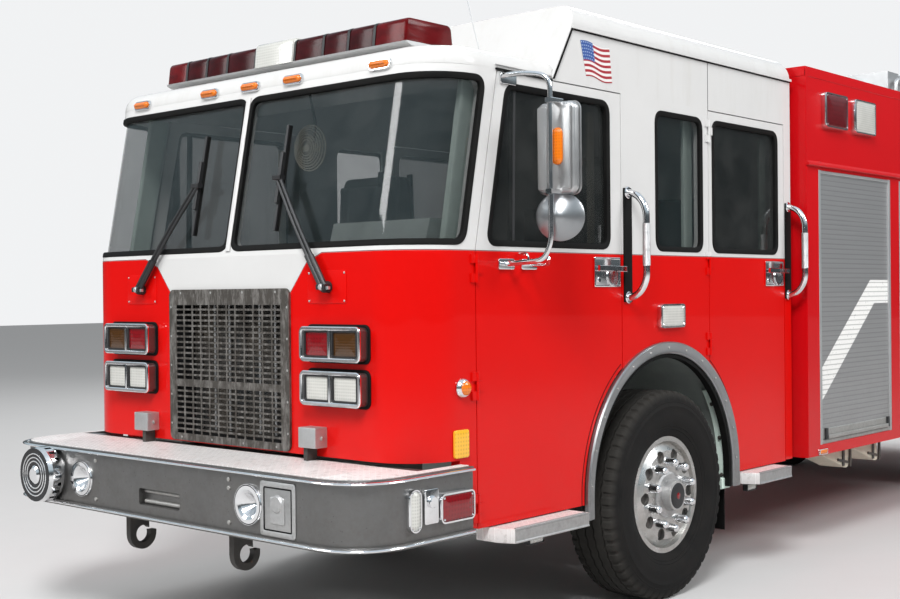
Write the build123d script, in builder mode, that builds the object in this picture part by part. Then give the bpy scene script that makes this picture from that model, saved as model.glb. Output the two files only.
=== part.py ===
from build123d import *
import math
import os

# Custom-cab rescue engine: a four-door tilting cab with a raised roof, a chassis on
# single front and twin rear wheels, and a body closed by slatted roll-up doors.
# Millimetres. +Z is up, the front faces -Y and the driver's side is +X. The origin is
# on the ground under the middle of the whole vehicle's bounding box.

os.makedirs("parts", exist_ok=True)

# Places along the vehicle are measured back from the cab's front wall
cab_front = -4222.0

# Cab shell
cab_half = 1192.0
cab_length = 3249.0
cab_bottom = 578.0
cab_wall = 50.0
corner_radius = 250.0
belt_height = 1755.0
door_head = 2540.0
rake_back = 150.0
front_panel_bottom = 875.0
roof_low = 2630.0
roof_high = 2935.0
roof_wall = 40.0
raise_foot = 918.0
raise_slope = 0.588
shoulder_height = 2811.0
brow_radius = 80.0

# Doors and windows
front_gap = 373.0
front_rake = 157.0
front_door_rear = 1475.0
crew_door_front = 2307.0
rear_post = 84.0
crew_door_rear = cab_length - rear_post
door_gap = 6.0
door_bottom = 572.0
glass_low = belt_height + 29.0
glass_high = door_head - 53.0
screen_high = door_head - 40.0
pane_thick = 6.0
pane_inset = 18.0
pane_edge = 0.4
window_radius = 62.0
screen_post = 13.0
screen_side = 75.0
front_window = (front_gap + 79.0, front_door_rear - 101.0)
fixed_window = (1789.0, 2240.0)
crew_window = (crew_door_front + 43.0, crew_door_rear - 81.0)

# Door hinges on the outer skin
hinge_x = cab_half + 8.0
hinge_radius, hinge_pin_radius = 7.0, 4.0
hinge_fit = 0.05
hinge_leaf = 34.0
hinge_half, hinge_mid = 60.0, 22.0
front_hinges = (660.0, 1180.0, belt_height - 75.0)
crew_hinges = (1290.0, belt_height - 35.0, door_head - 110.0)

# Front wheel arch
front_axle_back = 1869.0
arch_height = 601.0
arch_radius = 715.0
arch_band = 60.0
arch_liner = 700.0
liner_wall = 15.0

# Wheels
tyre_radius = 534.0
tyre_width = 300.0
rim_radius = 298.5
rim_bead = 285.0
rim_well = 255.0
front_track_half = 1072.0
twin_outer = 1092.0
twin_spacing = 342.0
kingpin_half = 860.0
stud_circle = 167.5

# Frame
rail_half = 432.0
rail_low = 630.0
rail_high = 850.0
rail_flange = 85.0
rail_web = 9.0
frame_front = -330.0
frame_tail = 90.0

# Bumper
bumper_front = -390.0
bumper_half = cab_half + 63.0
bumper_wrap = 270.0
bumper_low = 575.0
deck_height = 856.0
bumper_corner = 250.0
bumper_wall = 8.0
lip_proud = 14.0
lip_thick = 22.0

# Cab tilt pivot
pivot_back = -30.0
pivot_height = 957.0
pivot_half = 588.0

# Equipment body, with the rear axle set back from its front wall
body_gap = 56.0
body_length = 5345.0
rear_axle_set = 3644.0
body_front = cab_length + body_gap
body_rear = body_front + body_length
body_half = 1265.0
body_low = 578.0
body_high = 2885.0
body_wall = 40.0
shutter_low = 641.0
shutter_high = 2293.0
tail_step = 280.0

# Inside the cab
floor_top = 1000.0
floor_thick = 40.0
riser_front = 1130.0
riser_rear = 2610.0
riser_top = 1360.0
riser_inner = 500.0
tunnel_top = 1420.0
sheet = 20.0
well_inner = 890.0
well_floor = 620.0

axle_height = tyre_radius
rear_axle_back = body_front + rear_axle_set
frame_rear = body_rear - frame_tail


def along(back):
    """Row Y of a place measured back from the cab's front wall."""
    return cab_front + back


def side_plane(x):
    """Side view at x: sketch X is the row's Y and sketch Y is height."""
    return Plane.YZ.offset(x)


def cross_plane(back):
    """Front view at a place along the vehicle, facing forwards."""
    return Plane.XZ.offset(-along(back))


def block(x0, x1, back0, back1, low, high, mode=Mode.ADD):
    """Box between two corners, added to the part being built."""
    centre = ((x0 + x1) / 2, along((back0 + back1) / 2), (low + high) / 2)
    with Locations(centre):
        Box(x1 - x0, back1 - back0, high - low, mode=mode)


def pair(x0, x1, back0, back1, low, high, mode=Mode.ADD):
    """The same box on both sides of the vehicle."""
    block(x0, x1, back0, back1, low, high, mode)
    block(-x1, -x0, back0, back1, low, high, mode)


def side_outline(points, x):
    """Closed outline of (back, height) points in the side view at x."""
    with BuildSketch(side_plane(x)) as outline:
        with BuildLine():
            Polyline([(along(back), height) for back, height in points], close=True)
        make_face()
    return outline.sketch


def window_outline(back0, back1, low, high, radius, x):
    """Rounded window between two places along the side, at x."""
    with BuildSketch(side_plane(x)) as outline:
        with Locations((along((back0 + back1) / 2), (low + high) / 2)):
            RectangleRounded(back1 - back0, high - low, radius)
    return outline.sketch


def disc(back, height, radius, x):
    """Disc in the side view at x."""
    with BuildSketch(side_plane(x)) as outline:
        with Locations((along(back), height)):
            Circle(radius)
    return outline.sketch


def tube(points, radius, bends):
    """Round bar along straight runs joined by arcs, from row points."""
    with BuildPart(mode=Mode.PRIVATE) as bar:
        with BuildLine() as path:
            if len(points) > 2:
                FilletPolyline(*points, radius=bends)
            else:
                Line(*points)
        with BuildSketch(Plane(origin=path.line @ 0, z_dir=path.line % 0)):
            Circle(radius)
        sweep(path=path.line)
    return bar.part


def apart(*groups):
    """One piece of several solids that bear on each other without being joined into one."""
    return Compound([solid for group in groups for solid in group.part.solids()])


def keep(part, name):
    """Label a finished piece and write it."""
    part.label = name
    export_step(part, f"parts/{name}.step")


def front_line(height, inset=0.0):
    """How far back the raked front stands at a height."""
    return max(0.0, (height - belt_height) * rake_back / (door_head - belt_height)) + inset


def gap_line(height):
    """How far back the front door's leading gap stands at a height."""
    return front_gap + max(0.0, (height - belt_height) * front_rake / (door_head - belt_height))


def cab_block(inset, low, high):
    """The cab's outer form between two heights, with its rounded front corners."""
    with BuildPart(mode=Mode.PRIVATE) as form:
        points = [(front_line(low, inset), low)]
        if low < belt_height:
            points.append((inset, belt_height))
        points += [(front_line(high, inset), high), (cab_length - inset, high)]
        points += [(cab_length - inset, low)]
        extrude(side_outline(points, -(cab_half - inset)), amount=2 * (cab_half - inset))
        fronts = form.edges().filter_by(lambda edge: edge.center().Y < along(front_line(high, inset)))
        uprights = fronts.filter_by(lambda edge: abs(edge.tangent_at(0).Z) > 0.9)
        fillet(uprights, corner_radius - inset)
    return form.part


def screen_opening(edge):
    """Space cut by one windscreen pane, which wraps round the driver's side corner."""
    half = screen_post + edge
    with BuildPart(mode=Mode.PRIVATE) as cut:
        with BuildSketch(cross_plane(600.0)):
            with Locations(((half + 1400.0) / 2, (glass_low + screen_high) / 2)):
                RectangleRounded(1400.0 - half, screen_high - glass_low - 2 * edge, window_radius)
        extrude(amount=900.0)
        rear_low = gap_line(glass_low) - screen_side - edge
        rear_high = gap_line(screen_high) - screen_side - edge
        with BuildSketch(side_plane(-50.0)) as flank:
            with BuildLine():
                Polyline(
                    (along(-300.0), glass_low + edge),
                    (along(rear_low), glass_low + edge),
                    (along(rear_high), screen_high - edge),
                    (along(-300.0), screen_high - edge),
                    close=True,
                )
            make_face()
            fillet(flank.vertices().sort_by(Axis.X)[-2:], window_radius)
        extrude(amount=1400.0, mode=Mode.INTERSECT)
    return cut.part


def hinge_pin(back, height):
    """The cab's half of a door hinge on the driver's side: leaf, two barrels and the pin."""
    with BuildPart(mode=Mode.PRIVATE) as half:
        for middle in (-1, 1):
            low, high = sorted((height + middle * hinge_mid, height + middle * hinge_half))
            block(cab_half, hinge_x, back - hinge_leaf, back - door_gap / 2, low, high)
            block(cab_half + 2.0, hinge_x, back - door_gap / 2, back, low, high)
            with BuildSketch(Plane.XY.offset(low)):
                with Locations((hinge_x, along(back))):
                    Circle(hinge_radius)
            extrude(amount=high - low)
        with BuildSketch(Plane.XY.offset(height - hinge_half)):
            with Locations((hinge_x, along(back))):
                Circle(hinge_pin_radius)
        extrude(amount=2 * hinge_half)
    return half.part


def hinge_barrel(back, height):
    """The door's half of a hinge on the driver's side: leaf and the barrel round the pin."""
    reach = hinge_mid - 1.0
    with BuildPart(mode=Mode.PRIVATE) as half:
        block(cab_half, hinge_x, back + door_gap / 2, back + hinge_leaf, height - reach, height + reach)
        block(cab_half + 2.0, hinge_x, back, back + door_gap / 2, height - reach, height + reach)
        with BuildSketch(Plane.XY.offset(height - reach)) as eye:
            with Locations((hinge_x, along(back))):
                Circle(hinge_radius)
        extrude(amount=2 * reach)
        with BuildSketch(Plane.XY.offset(height - reach)) as bore:
            with Locations((hinge_x, along(back))):
                Circle(hinge_pin_radius + hinge_fit)
        extrude(amount=2 * reach, mode=Mode.SUBTRACT)
    return half.part


shell_low = cab_bottom
outer_form = cab_block(0.0, shell_low, door_head + door_gap / 2)
inner_form = cab_block(cab_wall, shell_low - 1.0, door_head + door_gap)
cab_skin = outer_form - inner_form
screen_cut = screen_opening(0.0)
screen_cuts = screen_cut + mirror(screen_cut, about=Plane.YZ)

# Cab front: the panel below the screen, both rounded corners and the screen's frame
intake_half, intake_low, intake_high = 396.0, 905.0, 1580.0
front_region = [
    (-100.0, front_panel_bottom),
    (corner_radius + 12.0, front_panel_bottom),
    (corner_radius + 12.0, cab_bottom),
    (front_gap - door_gap / 2, cab_bottom),
    (front_gap - door_gap / 2, belt_height),
    (gap_line(door_head) - door_gap / 2, door_head + door_gap / 2),
    (-100.0, door_head + door_gap / 2),
]
with BuildPart() as front_part:
    add(cab_skin)
    extrude(side_outline(front_region, -1300.0), amount=2600.0, mode=Mode.INTERSECT)
    add(screen_cuts, mode=Mode.SUBTRACT)
    block(-intake_half, intake_half, -10.0, cab_wall + 10.0, intake_low, intake_high, Mode.SUBTRACT)
    for height in front_hinges:
        add(hinge_pin(front_gap, height))
        mirror(hinge_pin(front_gap, height), about=Plane.YZ)
keep(front_part.part, "cab_front")

# Glass of the windscreen and of the fixed side windows
pane_outer = cab_block(pane_inset, belt_height + 10.0, screen_high + 30.0)
pane_inner = cab_block(pane_inset + pane_thick, belt_height + 5.0, screen_high + 35.0)
driver_screen = (pane_outer - pane_inner) & screen_opening(pane_edge)
with BuildPart() as glass:
    add(driver_screen)
    mirror(driver_screen, about=Plane.YZ)
    pane_x = cab_half - pane_inset - pane_thick
    back0, back1 = fixed_window
    pane = (back0 + pane_edge, back1 - pane_edge, glass_low, glass_high - pane_edge, window_radius)
    for x in (pane_x, -pane_x - pane_thick):
        extrude(window_outline(*pane, x), amount=pane_thick)
keep(glass.part, "cab_glass")

# Cab walls: the posts with the fixed windows between the doors, and the rear wall with its posts
post_front = front_door_rear + door_gap / 2
post_rear = crew_door_front - door_gap / 2
wall_top = door_head + door_gap / 2
with BuildPart() as walls:
    for x in (cab_half - cab_wall, -cab_half):
        block(x, x + cab_wall, post_front, post_rear, cab_bottom, wall_top)
        cuts = disc(front_axle_back, arch_height, arch_radius - arch_band / 2, x)
        extrude(cuts, amount=cab_wall, mode=Mode.SUBTRACT)
        pane = window_outline(*fixed_window, glass_low, glass_high, window_radius, x)
        extrude(pane, amount=cab_wall, mode=Mode.SUBTRACT)
        block(x, x + cab_wall, crew_door_rear + door_gap / 2, cab_length, cab_bottom, wall_top)
    block(-cab_half, cab_half, cab_length - cab_wall, cab_length, rail_high + 50.0, wall_top)
    for height in crew_hinges:
        add(hinge_pin(crew_door_front, height))
        mirror(hinge_pin(crew_door_front, height), about=Plane.YZ)
keep(walls.part, "cab_walls")


def roof_form(inset, low):
    """Low front roof and raised rear roof, with rounded brow and shoulders."""
    side = cab_half - inset
    with BuildPart(mode=Mode.PRIVATE) as form:
        start = front_line(door_head) + inset
        points = [(start, low), (start, roof_low - inset), (cab_length - inset, roof_low - inset)]
        points += [(cab_length - inset, low)]
        extrude(side_outline(points, -side), amount=2 * side)
        fronts = form.edges().filter_by(Axis.Z).group_by(Axis.Y)[0]
        fillet(fronts, corner_radius - inset)
        brow = form.faces().sort_by(Axis.Z)[-1].edges()
        brow = brow.filter_by(lambda edge: edge.center().Y < along(cab_length - inset) - 1.0)
        fillet(brow, brow_radius - inset)
    with BuildPart(mode=Mode.PRIVATE) as raised:
        high = roof_high - inset
        foot = raise_foot + 1.16 * inset
        points = [(foot, low), (foot + raise_slope * (high - low), high)]
        points += [(cab_length - inset, high), (cab_length - inset, low)]
        extrude(side_outline(points, -side), amount=2 * side)
        top = raised.faces().sort_by(Axis.Z)[-1]
        fillet(top.edges().filter_by(Axis.Y), roof_high - shoulder_height - inset / 2)
    return form.part + raised.part


roof_foot = wall_top
roof_outer = roof_form(0.0, roof_foot)
roof_inner = roof_form(roof_wall, roof_foot - 1.0)
with BuildPart() as roof:
    add(roof_outer)
    add(roof_inner, mode=Mode.SUBTRACT)
keep(roof.part, "cab_roof")


def front_door_region(edge):
    """Outline of the front door, a gap inside its opening, with edge as that gap."""
    lead_low = front_gap + edge
    lead_high = gap_line(door_head) + edge
    rear = front_door_rear - edge
    return [
        (lead_low, door_bottom),
        (lead_low, belt_height),
        (lead_high, door_head - edge),
        (rear, door_head - edge),
        (rear, door_bottom),
    ]


def front_window_outline(edge, x):
    """Front door window, raked along its leading edge."""
    lead_low = front_window[0] + edge
    lead_high = lead_low + front_rake * (glass_high - glass_low) / (door_head - belt_height)
    with BuildSketch(side_plane(x)) as outline:
        with BuildLine():
            Polyline(
                (along(lead_low), glass_low + edge),
                (along(front_window[1] - edge), glass_low + edge),
                (along(front_window[1] - edge), glass_high - edge),
                (along(lead_high), glass_high - edge),
                close=True,
            )
        make_face()
        fillet(outline.vertices(), window_radius)
    return outline.sketch


handle_low, handle_high = belt_height - 157.0, belt_height - 15.0
handle_long = 223.0
handle_set = 17.0
half_gap = door_gap / 2
door_x = cab_half - cab_wall
pane_x = cab_half - pane_inset - pane_thick

arch_cut = disc(front_axle_back, arch_height, arch_radius + door_gap, door_x)

# Doors of the driver's side, each with its window glass; the other side mirrors them
with BuildPart() as front_door:
    extrude(side_outline(front_door_region(half_gap), door_x), amount=cab_wall)
    extrude(arch_cut, amount=cab_wall, mode=Mode.SUBTRACT)
    extrude(front_window_outline(0.0, door_x), amount=cab_wall, mode=Mode.SUBTRACT)
    plate_rear = front_door_rear - handle_set
    block(cab_half, cab_half + 5.0, plate_rear - handle_long, plate_rear, handle_low, handle_high)
    for height in front_hinges:
        add(hinge_barrel(front_gap, height))
with BuildPart() as front_pane:
    extrude(front_window_outline(pane_edge, pane_x), amount=pane_thick)
with BuildPart() as crew_door:
    block(
        door_x, cab_half, crew_door_front + half_gap, crew_door_rear - half_gap,
        door_bottom, door_head - half_gap,
    )
    extrude(arch_cut, amount=cab_wall, mode=Mode.SUBTRACT)
    extrude(
        window_outline(*crew_window, glass_low, glass_high, window_radius, door_x),
        amount=cab_wall, mode=Mode.SUBTRACT,
    )
    plate_rear = crew_door_rear - handle_set
    block(cab_half, cab_half + 5.0, plate_rear - handle_long, plate_rear, handle_low, handle_high)
    for height in crew_hinges:
        add(hinge_barrel(crew_door_front, height))
with BuildPart() as crew_pane:
    back0, back1 = crew_window
    pane = (back0 + pane_edge, back1 - pane_edge, glass_low, glass_high - pane_edge, window_radius)
    extrude(window_outline(*pane, pane_x), amount=pane_thick)

# Door mirror: a flat head and a round convex mirror on a bent tube with three arms
mirror_x = cab_half + 228.0
mirror_back = 645.0
tube_radius = 11.0
with BuildPart() as door_mirror:
    post = [(mirror_x, along(mirror_back), 1745.0), (mirror_x, along(mirror_back), 2465.0)]
    add(tube(post, tube_radius, 0))
    for back, height, reach in ((600.0, 2508.0, 2458.0), (575.0, 1700.0, 1752.0), (735.0, 1700.0, 1752.0)):
        root = (cab_half + 5.0, along(back), height)
        knee = (mirror_x - 60.0, along((back + mirror_back) / 2), height)
        add(tube([root, knee, (mirror_x, along(mirror_back), reach)], tube_radius, 25.0))
        with Locations((cab_half + 3.0, along(back), height)):
            Box(6.0, 60.0, 44.0)
    with Locations((mirror_x + 6.0, along(mirror_back + 42.0), 2195.0)):
        Box(240.0, 62.0, 400.0)
    with Locations(Location((mirror_x + 6.0, along(mirror_back + 42.0), 1900.0), (90, 0, 0))):
        Cylinder(108.0, 50.0)
    with Locations((mirror_x, along(mirror_back + 20.0), 1900.0)):
        Box(30.0, 40.0, 40.0)

for side, flip in (("left", False), ("right", True)):
    for name, piece in (
        ("door_front", front_door),
        ("glass_front", front_pane),
        ("door_crew", crew_door),
        ("glass_crew", crew_pane),
        ("mirror", door_mirror),
    ):
        part = mirror(piece.part, about=Plane.YZ) if flip else piece.part
        keep(part, f"{name}_{side}")

# Cab floor: floors, step wells, the riser boxes over the wheel arches and the engine tunnel
riser_low = cab_bottom + 22.0
riser_long, riser_high = riser_rear - riser_front, riser_top - riser_low
with BuildPart() as floor:
    floor_side = door_x - 0.3
    for x in (riser_inner, -floor_side):
        width = floor_side - riser_inner
        with BuildSketch(side_plane(x)) as riser:
            with Locations((along((riser_front + riser_rear) / 2), (riser_low + riser_top) / 2)):
                Rectangle(riser_long, riser_high)
                Rectangle(riser_long - 2 * sheet, riser_high - 2 * sheet, mode=Mode.SUBTRACT)
            with Locations((along(front_axle_back), arch_height)):
                Circle(arch_liner + liner_wall)
                Circle(arch_liner, mode=Mode.SUBTRACT)
            with Locations((along(front_axle_back), arch_height - arch_radius)):
                Rectangle(3 * arch_liner, 2 * arch_radius, mode=Mode.SUBTRACT)
        extrude(amount=width)
    pair(riser_inner - sheet, riser_inner, riser_front, riser_rear, rail_high + 30.0, riser_top)
    tunnel = [(cab_wall, 900.0), (cab_wall, 1640.0), (400.0, 1640.0), (560.0, tunnel_top)]
    tunnel += [(riser_rear, tunnel_top), (riser_rear, rail_high + 30.0)]
    hollow = [(cab_wall + sheet, 800.0), (cab_wall + sheet, 1640.0 - sheet), (392.0, 1640.0 - sheet)]
    hollow += [(552.0, tunnel_top - sheet), (riser_rear - sheet, tunnel_top - sheet)]
    hollow += [(riser_rear - sheet, 800.0)]
    tunnel_half = riser_inner - sheet
    extrude(side_outline(tunnel, -riser_inner), amount=2 * riser_inner)
    extrude(side_outline(hollow, -tunnel_half), amount=2 * tunnel_half, mode=Mode.SUBTRACT)
    bulkhead = (cab_wall - 10.0, cab_wall + sheet + 10.0)
    block(-intake_half, intake_half, *bulkhead, intake_low, intake_high, Mode.SUBTRACT)
    for start, end, well0, well1 in (
        (cab_wall + 1.0, riser_front, front_gap + 25.0, riser_front),
        (riser_rear, cab_length - cab_wall, riser_rear, crew_door_rear - 20.0),
    ):
        inner = riser_inner if start < riser_front else 0.0
        pair(inner, floor_side, start, end, floor_top - floor_thick, floor_top)
        pair(well_inner, floor_side, well0, well1, floor_top - floor_thick, floor_top, Mode.SUBTRACT)
        pair(well_inner - sheet, well_inner, well0, well1, well_floor - sheet, floor_top)
        pair(well_inner - sheet, floor_side, well0, well1, well_floor - sheet, well_floor)
        pair(well_inner - sheet, floor_side, well0 - sheet, well0, well_floor - sheet, floor_top)
        pair(well_inner - sheet, floor_side, well1, well1 + sheet, well_floor - sheet, floor_top)
    for back0, back1 in ((front_gap - 60.0, front_door_rear), (crew_door_front, crew_door_rear + door_gap)):
        pair(door_x - door_gap, cab_half, back0, back1, cab_bottom, door_head, Mode.SUBTRACT)
    add(cab_block(cab_wall + 0.3, shell_low - 1.0, door_head), mode=Mode.INTERSECT)
keep(floor.part, "cab_floor")

# Grille: a flat plate with rows of rounded slots in two banks above a folded strip
grille_half = 436.0
grille_low, grille_high = 881.0, 1604.0
grille_stand = 8.0
grille_plate = 4.0
slot_columns = 12
slot_pitch_x = 64.0
slot_width, slot_height = 54.0, 17.0
slot_pitch_z = 26.0
slot_banks = ((1522.0, 14), (1132.0, 9))
with BuildPart() as grille:
    with BuildSketch(cross_plane(-grille_stand)):
        with Locations((0, (grille_low + grille_high) / 2)):
            RectangleRounded(2 * grille_half, grille_high - grille_low, 32.0)
        for top_row, rows in slot_banks:
            with Locations((0, top_row - (rows - 1) * slot_pitch_z / 2)):
                with GridLocations(slot_pitch_x, slot_pitch_z, slot_columns, rows):
                    Rectangle(slot_width, slot_height, mode=Mode.SUBTRACT)
    extrude(amount=grille_plate)
    with BuildSketch(cross_plane(0.0)):
        with Locations((0, (grille_low + grille_high) / 2)):
            RectangleRounded(2 * grille_half, grille_high - grille_low, 32.0)
            Rectangle(2 * grille_half - 40.0, grille_high - grille_low - 40.0, mode=Mode.SUBTRACT)
    extrude(amount=grille_stand)
keep(grille.part, "grille")

# Headlamps: two stacked twin-lamp housings on each side of the grille
lamp_rows = ((1292.0, 1435.0), (1104.0, 1245.0))
lamp_inner, lamp_outer = 555.0, 922.0
lamp_depth = 50.0
lens_recess = 12.0
with BuildPart() as headlamps:
    for side in (1, -1):
        for low, high in lamp_rows:
            centre = (side * (lamp_inner + lamp_outer) / 2, (low + high) / 2)
            with BuildSketch(cross_plane(0.0)):
                with Locations(centre):
                    RectangleRounded(lamp_outer - lamp_inner, high - low, 24.0)
            extrude(amount=lamp_depth)
            with BuildSketch(cross_plane(-lamp_depth + lens_recess)):
                with Locations(centre):
                    with GridLocations(165.0, 1.0, 2, 1):
                        RectangleRounded(148.0, high - low - 34.0, 14.0)
            extrude(amount=lens_recess, mode=Mode.SUBTRACT)
keep(headlamps.part, "headlamps")

# Lamps on the cab: five roof markers, a side marker each side and a warning lamp over each arch
marker_places = (-855.0, -302.0, 4.0, 306.0, 862.0)
with BuildPart() as cab_lamps:
    for x in marker_places:
        with Locations((x, along(front_line(door_head) - 14.0), 2552.0)):
            Box(118.0, 44.0, 36.0)
    for side in (1, -1):
        with BuildSketch(side_plane(side * (cab_half if side > 0 else cab_half + 22.0))):
            with Locations((along(279.0), 1177.0)):
                Circle(38.0)
            with Locations((along(1908.0), 1448.0)):
                RectangleRounded(236.0, 132.0, 22.0)
        extrude(amount=22.0)
    add(roof_outer, mode=Mode.SUBTRACT)
    add(outer_form, mode=Mode.SUBTRACT)
keep(cab_lamps.part, "cab_lamps")

# Light bar on the low front roof
bar_half = 866.0
bar_front, bar_rear = 300.0, 630.0
bar_low, bar_high = 2664.0, 2790.0
with BuildPart() as light_bar:
    with BuildSketch(side_plane(-bar_half)) as section:
        with BuildLine():
            Polyline(
                (along(bar_front + 40.0), bar_low),
                (along(bar_front), bar_low + 30.0),
                (along(bar_front + 18.0), bar_high),
                (along(bar_rear - 18.0), bar_high),
                (along(bar_rear), bar_low + 30.0),
                (along(bar_rear - 40.0), bar_low),
                close=True,
            )
        make_face()
        fillet(section.vertices().group_by(Axis.Y)[-1], 16.0)
    extrude(amount=2 * bar_half)
    for x in (-620.0, 620.0):
        block(x - 60.0, x + 60.0, bar_front + 90.0, bar_rear - 90.0, roof_low, bar_low)
keep(light_bar.part, "light_bar")

# Wipers: a double arm and a blade before each pane
wiper_places = ((672.0, 1607.0, -342.0), (-672.0, 1607.0, 412.0))
with BuildPart() as wipers:
    for x, height, reach in wiper_places:
        tip = (x + reach, along(front_line(2100.0) - 62.0), 2100.0)
        for step in (0.0, 26.0):
            root = (x + step, along(-34.0), height)
            add(tube([root, (tip[0] + step, tip[1], tip[2])], 8.0, 0))
        block(x - 117.0, x + 117.0, -6.0, 0.0, height - 71.0, height + 71.0)
        block(x - 20.0, x + 46.0, -44.0, -6.0, height - 20.0, height + 20.0)
        low = (tip[0] + 13.0, along(front_line(1880.0) - 40.0), 1880.0)
        high = (tip[0] + 13.0, along(front_line(2330.0) - 40.0), 2330.0)
        add(tube([low, high], 9.0, 0))
        with Locations((tip[0] + 13.0, along(front_line(2100.0) - 54.0), 2100.0)):
            Box(40.0, 26.0, 34.0)
keep(wipers.part, "wipers")

# Mouldings round the front wheel arches
trim_proud = 24.0
leg_low = 500.0
with BuildPart() as arch_trims:
    for x in (cab_half, -cab_half - trim_proud):
        with BuildSketch(side_plane(x)):
            with Locations((along(front_axle_back), arch_height)):
                Circle(arch_radius)
            with Locations((along(front_axle_back), (arch_height + leg_low) / 2)):
                Rectangle(2 * arch_radius, arch_height - leg_low)
            with Locations((along(front_axle_back), arch_height)):
                Circle(arch_radius - arch_band, mode=Mode.SUBTRACT)
            with Locations((along(front_axle_back), (arch_height + leg_low) / 2 - 300.0)):
                Rectangle(2 * (arch_radius - arch_band), arch_height - leg_low + 600.0, mode=Mode.SUBTRACT)
            with Locations((along(front_axle_back), leg_low - arch_radius)):
                Rectangle(3 * arch_radius, 2 * arch_radius, mode=Mode.SUBTRACT)
        extrude(amount=trim_proud)
keep(arch_trims.part, "arch_trims")

# Steps under the doors
step_out = cab_half + 93.0
step_in = cab_half - 102.0
step_low, step_high = 505.0, 566.0
step_spans = ((376.0, 1100.0), (2620.0, cab_length))
with BuildPart() as cab_steps:
    for side in (1, -1):
        for start, end in step_spans:
            with BuildSketch(Plane.XY.offset(step_low)):
                with BuildLine():
                    Polyline(
                        (side * step_in, along(start)),
                        (side * cab_half, along(start)),
                        (side * step_out, along(start + 120.0)),
                        (side * step_out, along(end)),
                        (side * step_in, along(end)),
                        close=True,
                    )
                make_face()
            extrude(amount=step_high - step_low)
    for start, end in step_spans:
        for back in (start + 80.0, end - 180.0):
            pair(step_in + 6.0, step_in + 40.0, back, back + 40.0, step_high, well_floor - sheet)
keep(cab_steps.part, "cab_steps")

# Grab rails behind each door
grab_low, grab_high = belt_height - 210.0, belt_height + 305.0
with BuildPart() as grab_rails:
    for back in (front_door_rear + 50.0, cab_length - 43.0):
        foot = cab_half + 4.0
        bow = cab_half + 112.0
        rail = [(foot, along(back), grab_low), (bow, along(back), grab_low + 12.0)]
        rail += [(bow, along(back), grab_high - 12.0), (foot, along(back), grab_high)]
        add(tube(rail, 17.0, 60.0))
        block(cab_half, cab_half + 6.0, back - 34.0, back + 34.0, grab_low - 15.0, grab_high + 15.0)
    mirror(grab_rails.part, about=Plane.YZ)
keep(grab_rails.part, "grab_rails")

# Dashboard with the instrument hump before the driver
dash_rear = 600.0
dash_half = cab_half - 62.0
with BuildPart() as dash:
    board = [(cab_wall + sheet, 1660.0), (cab_wall + 60.0, 1752.0), (430.0, 1740.0), (dash_rear, 1660.0)]
    extrude(side_outline(board, -dash_half), amount=2 * dash_half)
    wings = [(cab_wall + 1.0, 1450.0), (cab_wall + 40.0, 1700.0), (dash_rear - 40.0, 1700.0), (540.0, 1450.0)]
    for x in (riser_inner + 2.0, -dash_half):
        extrude(side_outline(wings, x), amount=dash_half - riser_inner - 2.0)
    hump = [(240.0, 1700.0), (300.0, 1900.0), (470.0, 1900.0), (dash_rear, 1700.0)]
    extrude(side_outline(hump, 400.0), amount=600.0)
    add(cab_block(cab_wall + 1.0, shell_low, door_head), mode=Mode.INTERSECT)
keep(dash.part, "dash")

# Steering wheel on its column
wheel_x = cab_half - 402.0
wheel_back = 800.0
wheel_height = 1640.0
wheel_tilt = 30.0
with BuildPart() as steering_wheel:
    hub = Plane(
        origin=(wheel_x, along(wheel_back), wheel_height),
        x_dir=(1, 0, 0),
        z_dir=(0, math.sin(math.radians(wheel_tilt)), math.cos(math.radians(wheel_tilt))),
    )
    with BuildSketch(Plane(hub.origin, x_dir=hub.x_dir, z_dir=hub.y_dir)):
        with Locations((235.0, 0)):
            Circle(14.0)
    revolve(axis=Axis(hub.origin, hub.z_dir))
    with BuildSketch(hub.offset(-12.0)):
        Circle(60.0)
        with PolarLocations(0, 3, start_angle=90):
            with Locations((118.0, 0)):
                Rectangle(236.0, 34.0)
    extrude(amount=20.0)
    with BuildSketch(hub.offset(-12.0)):
        Circle(32.0)
    extrude(amount=-800.0)
    block(wheel_x - 60.0, wheel_x + 60.0, 200.0, 600.0, 800.0, floor_top, Mode.SUBTRACT)
keep(steering_wheel.part, "steering_wheel")

# Seats: two forward and two rear-facing on the risers, and a bench along the rear wall
seat_x = cab_half - 372.0
seat_half = 235.0
seat_top = 2290.0
bench_rear = cab_length - cab_wall
bench_front = bench_rear - 409.0
bench_top = 2200.0
with BuildPart() as seats:
    for x in (seat_x, -seat_x):
        for back, face in ((1230.0, 1.0), (2400.0, -1.0)):
            cushion = [(back, riser_top), (back, riser_top + 140.0), (back + face * 400.0, riser_top + 120.0)]
            cushion += [(back + face * 455.0, seat_top), (back + face * 560.0, seat_top)]
            cushion += [(back + face * 500.0, riser_top)]
            extrude(side_outline(cushion, x - seat_half), amount=2 * seat_half)
    for x in (-520.0, 0.0, 520.0):
        cushion = [(bench_front, floor_top), (bench_front, floor_top + 430.0)]
        cushion += [(bench_rear - 149.0, floor_top + 410.0), (bench_rear - 109.0, bench_top)]
        cushion += [(bench_rear, bench_top), (bench_rear, floor_top)]
        extrude(side_outline(cushion, x - seat_half), amount=2 * seat_half)
keep(seats.part, "seats")

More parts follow.
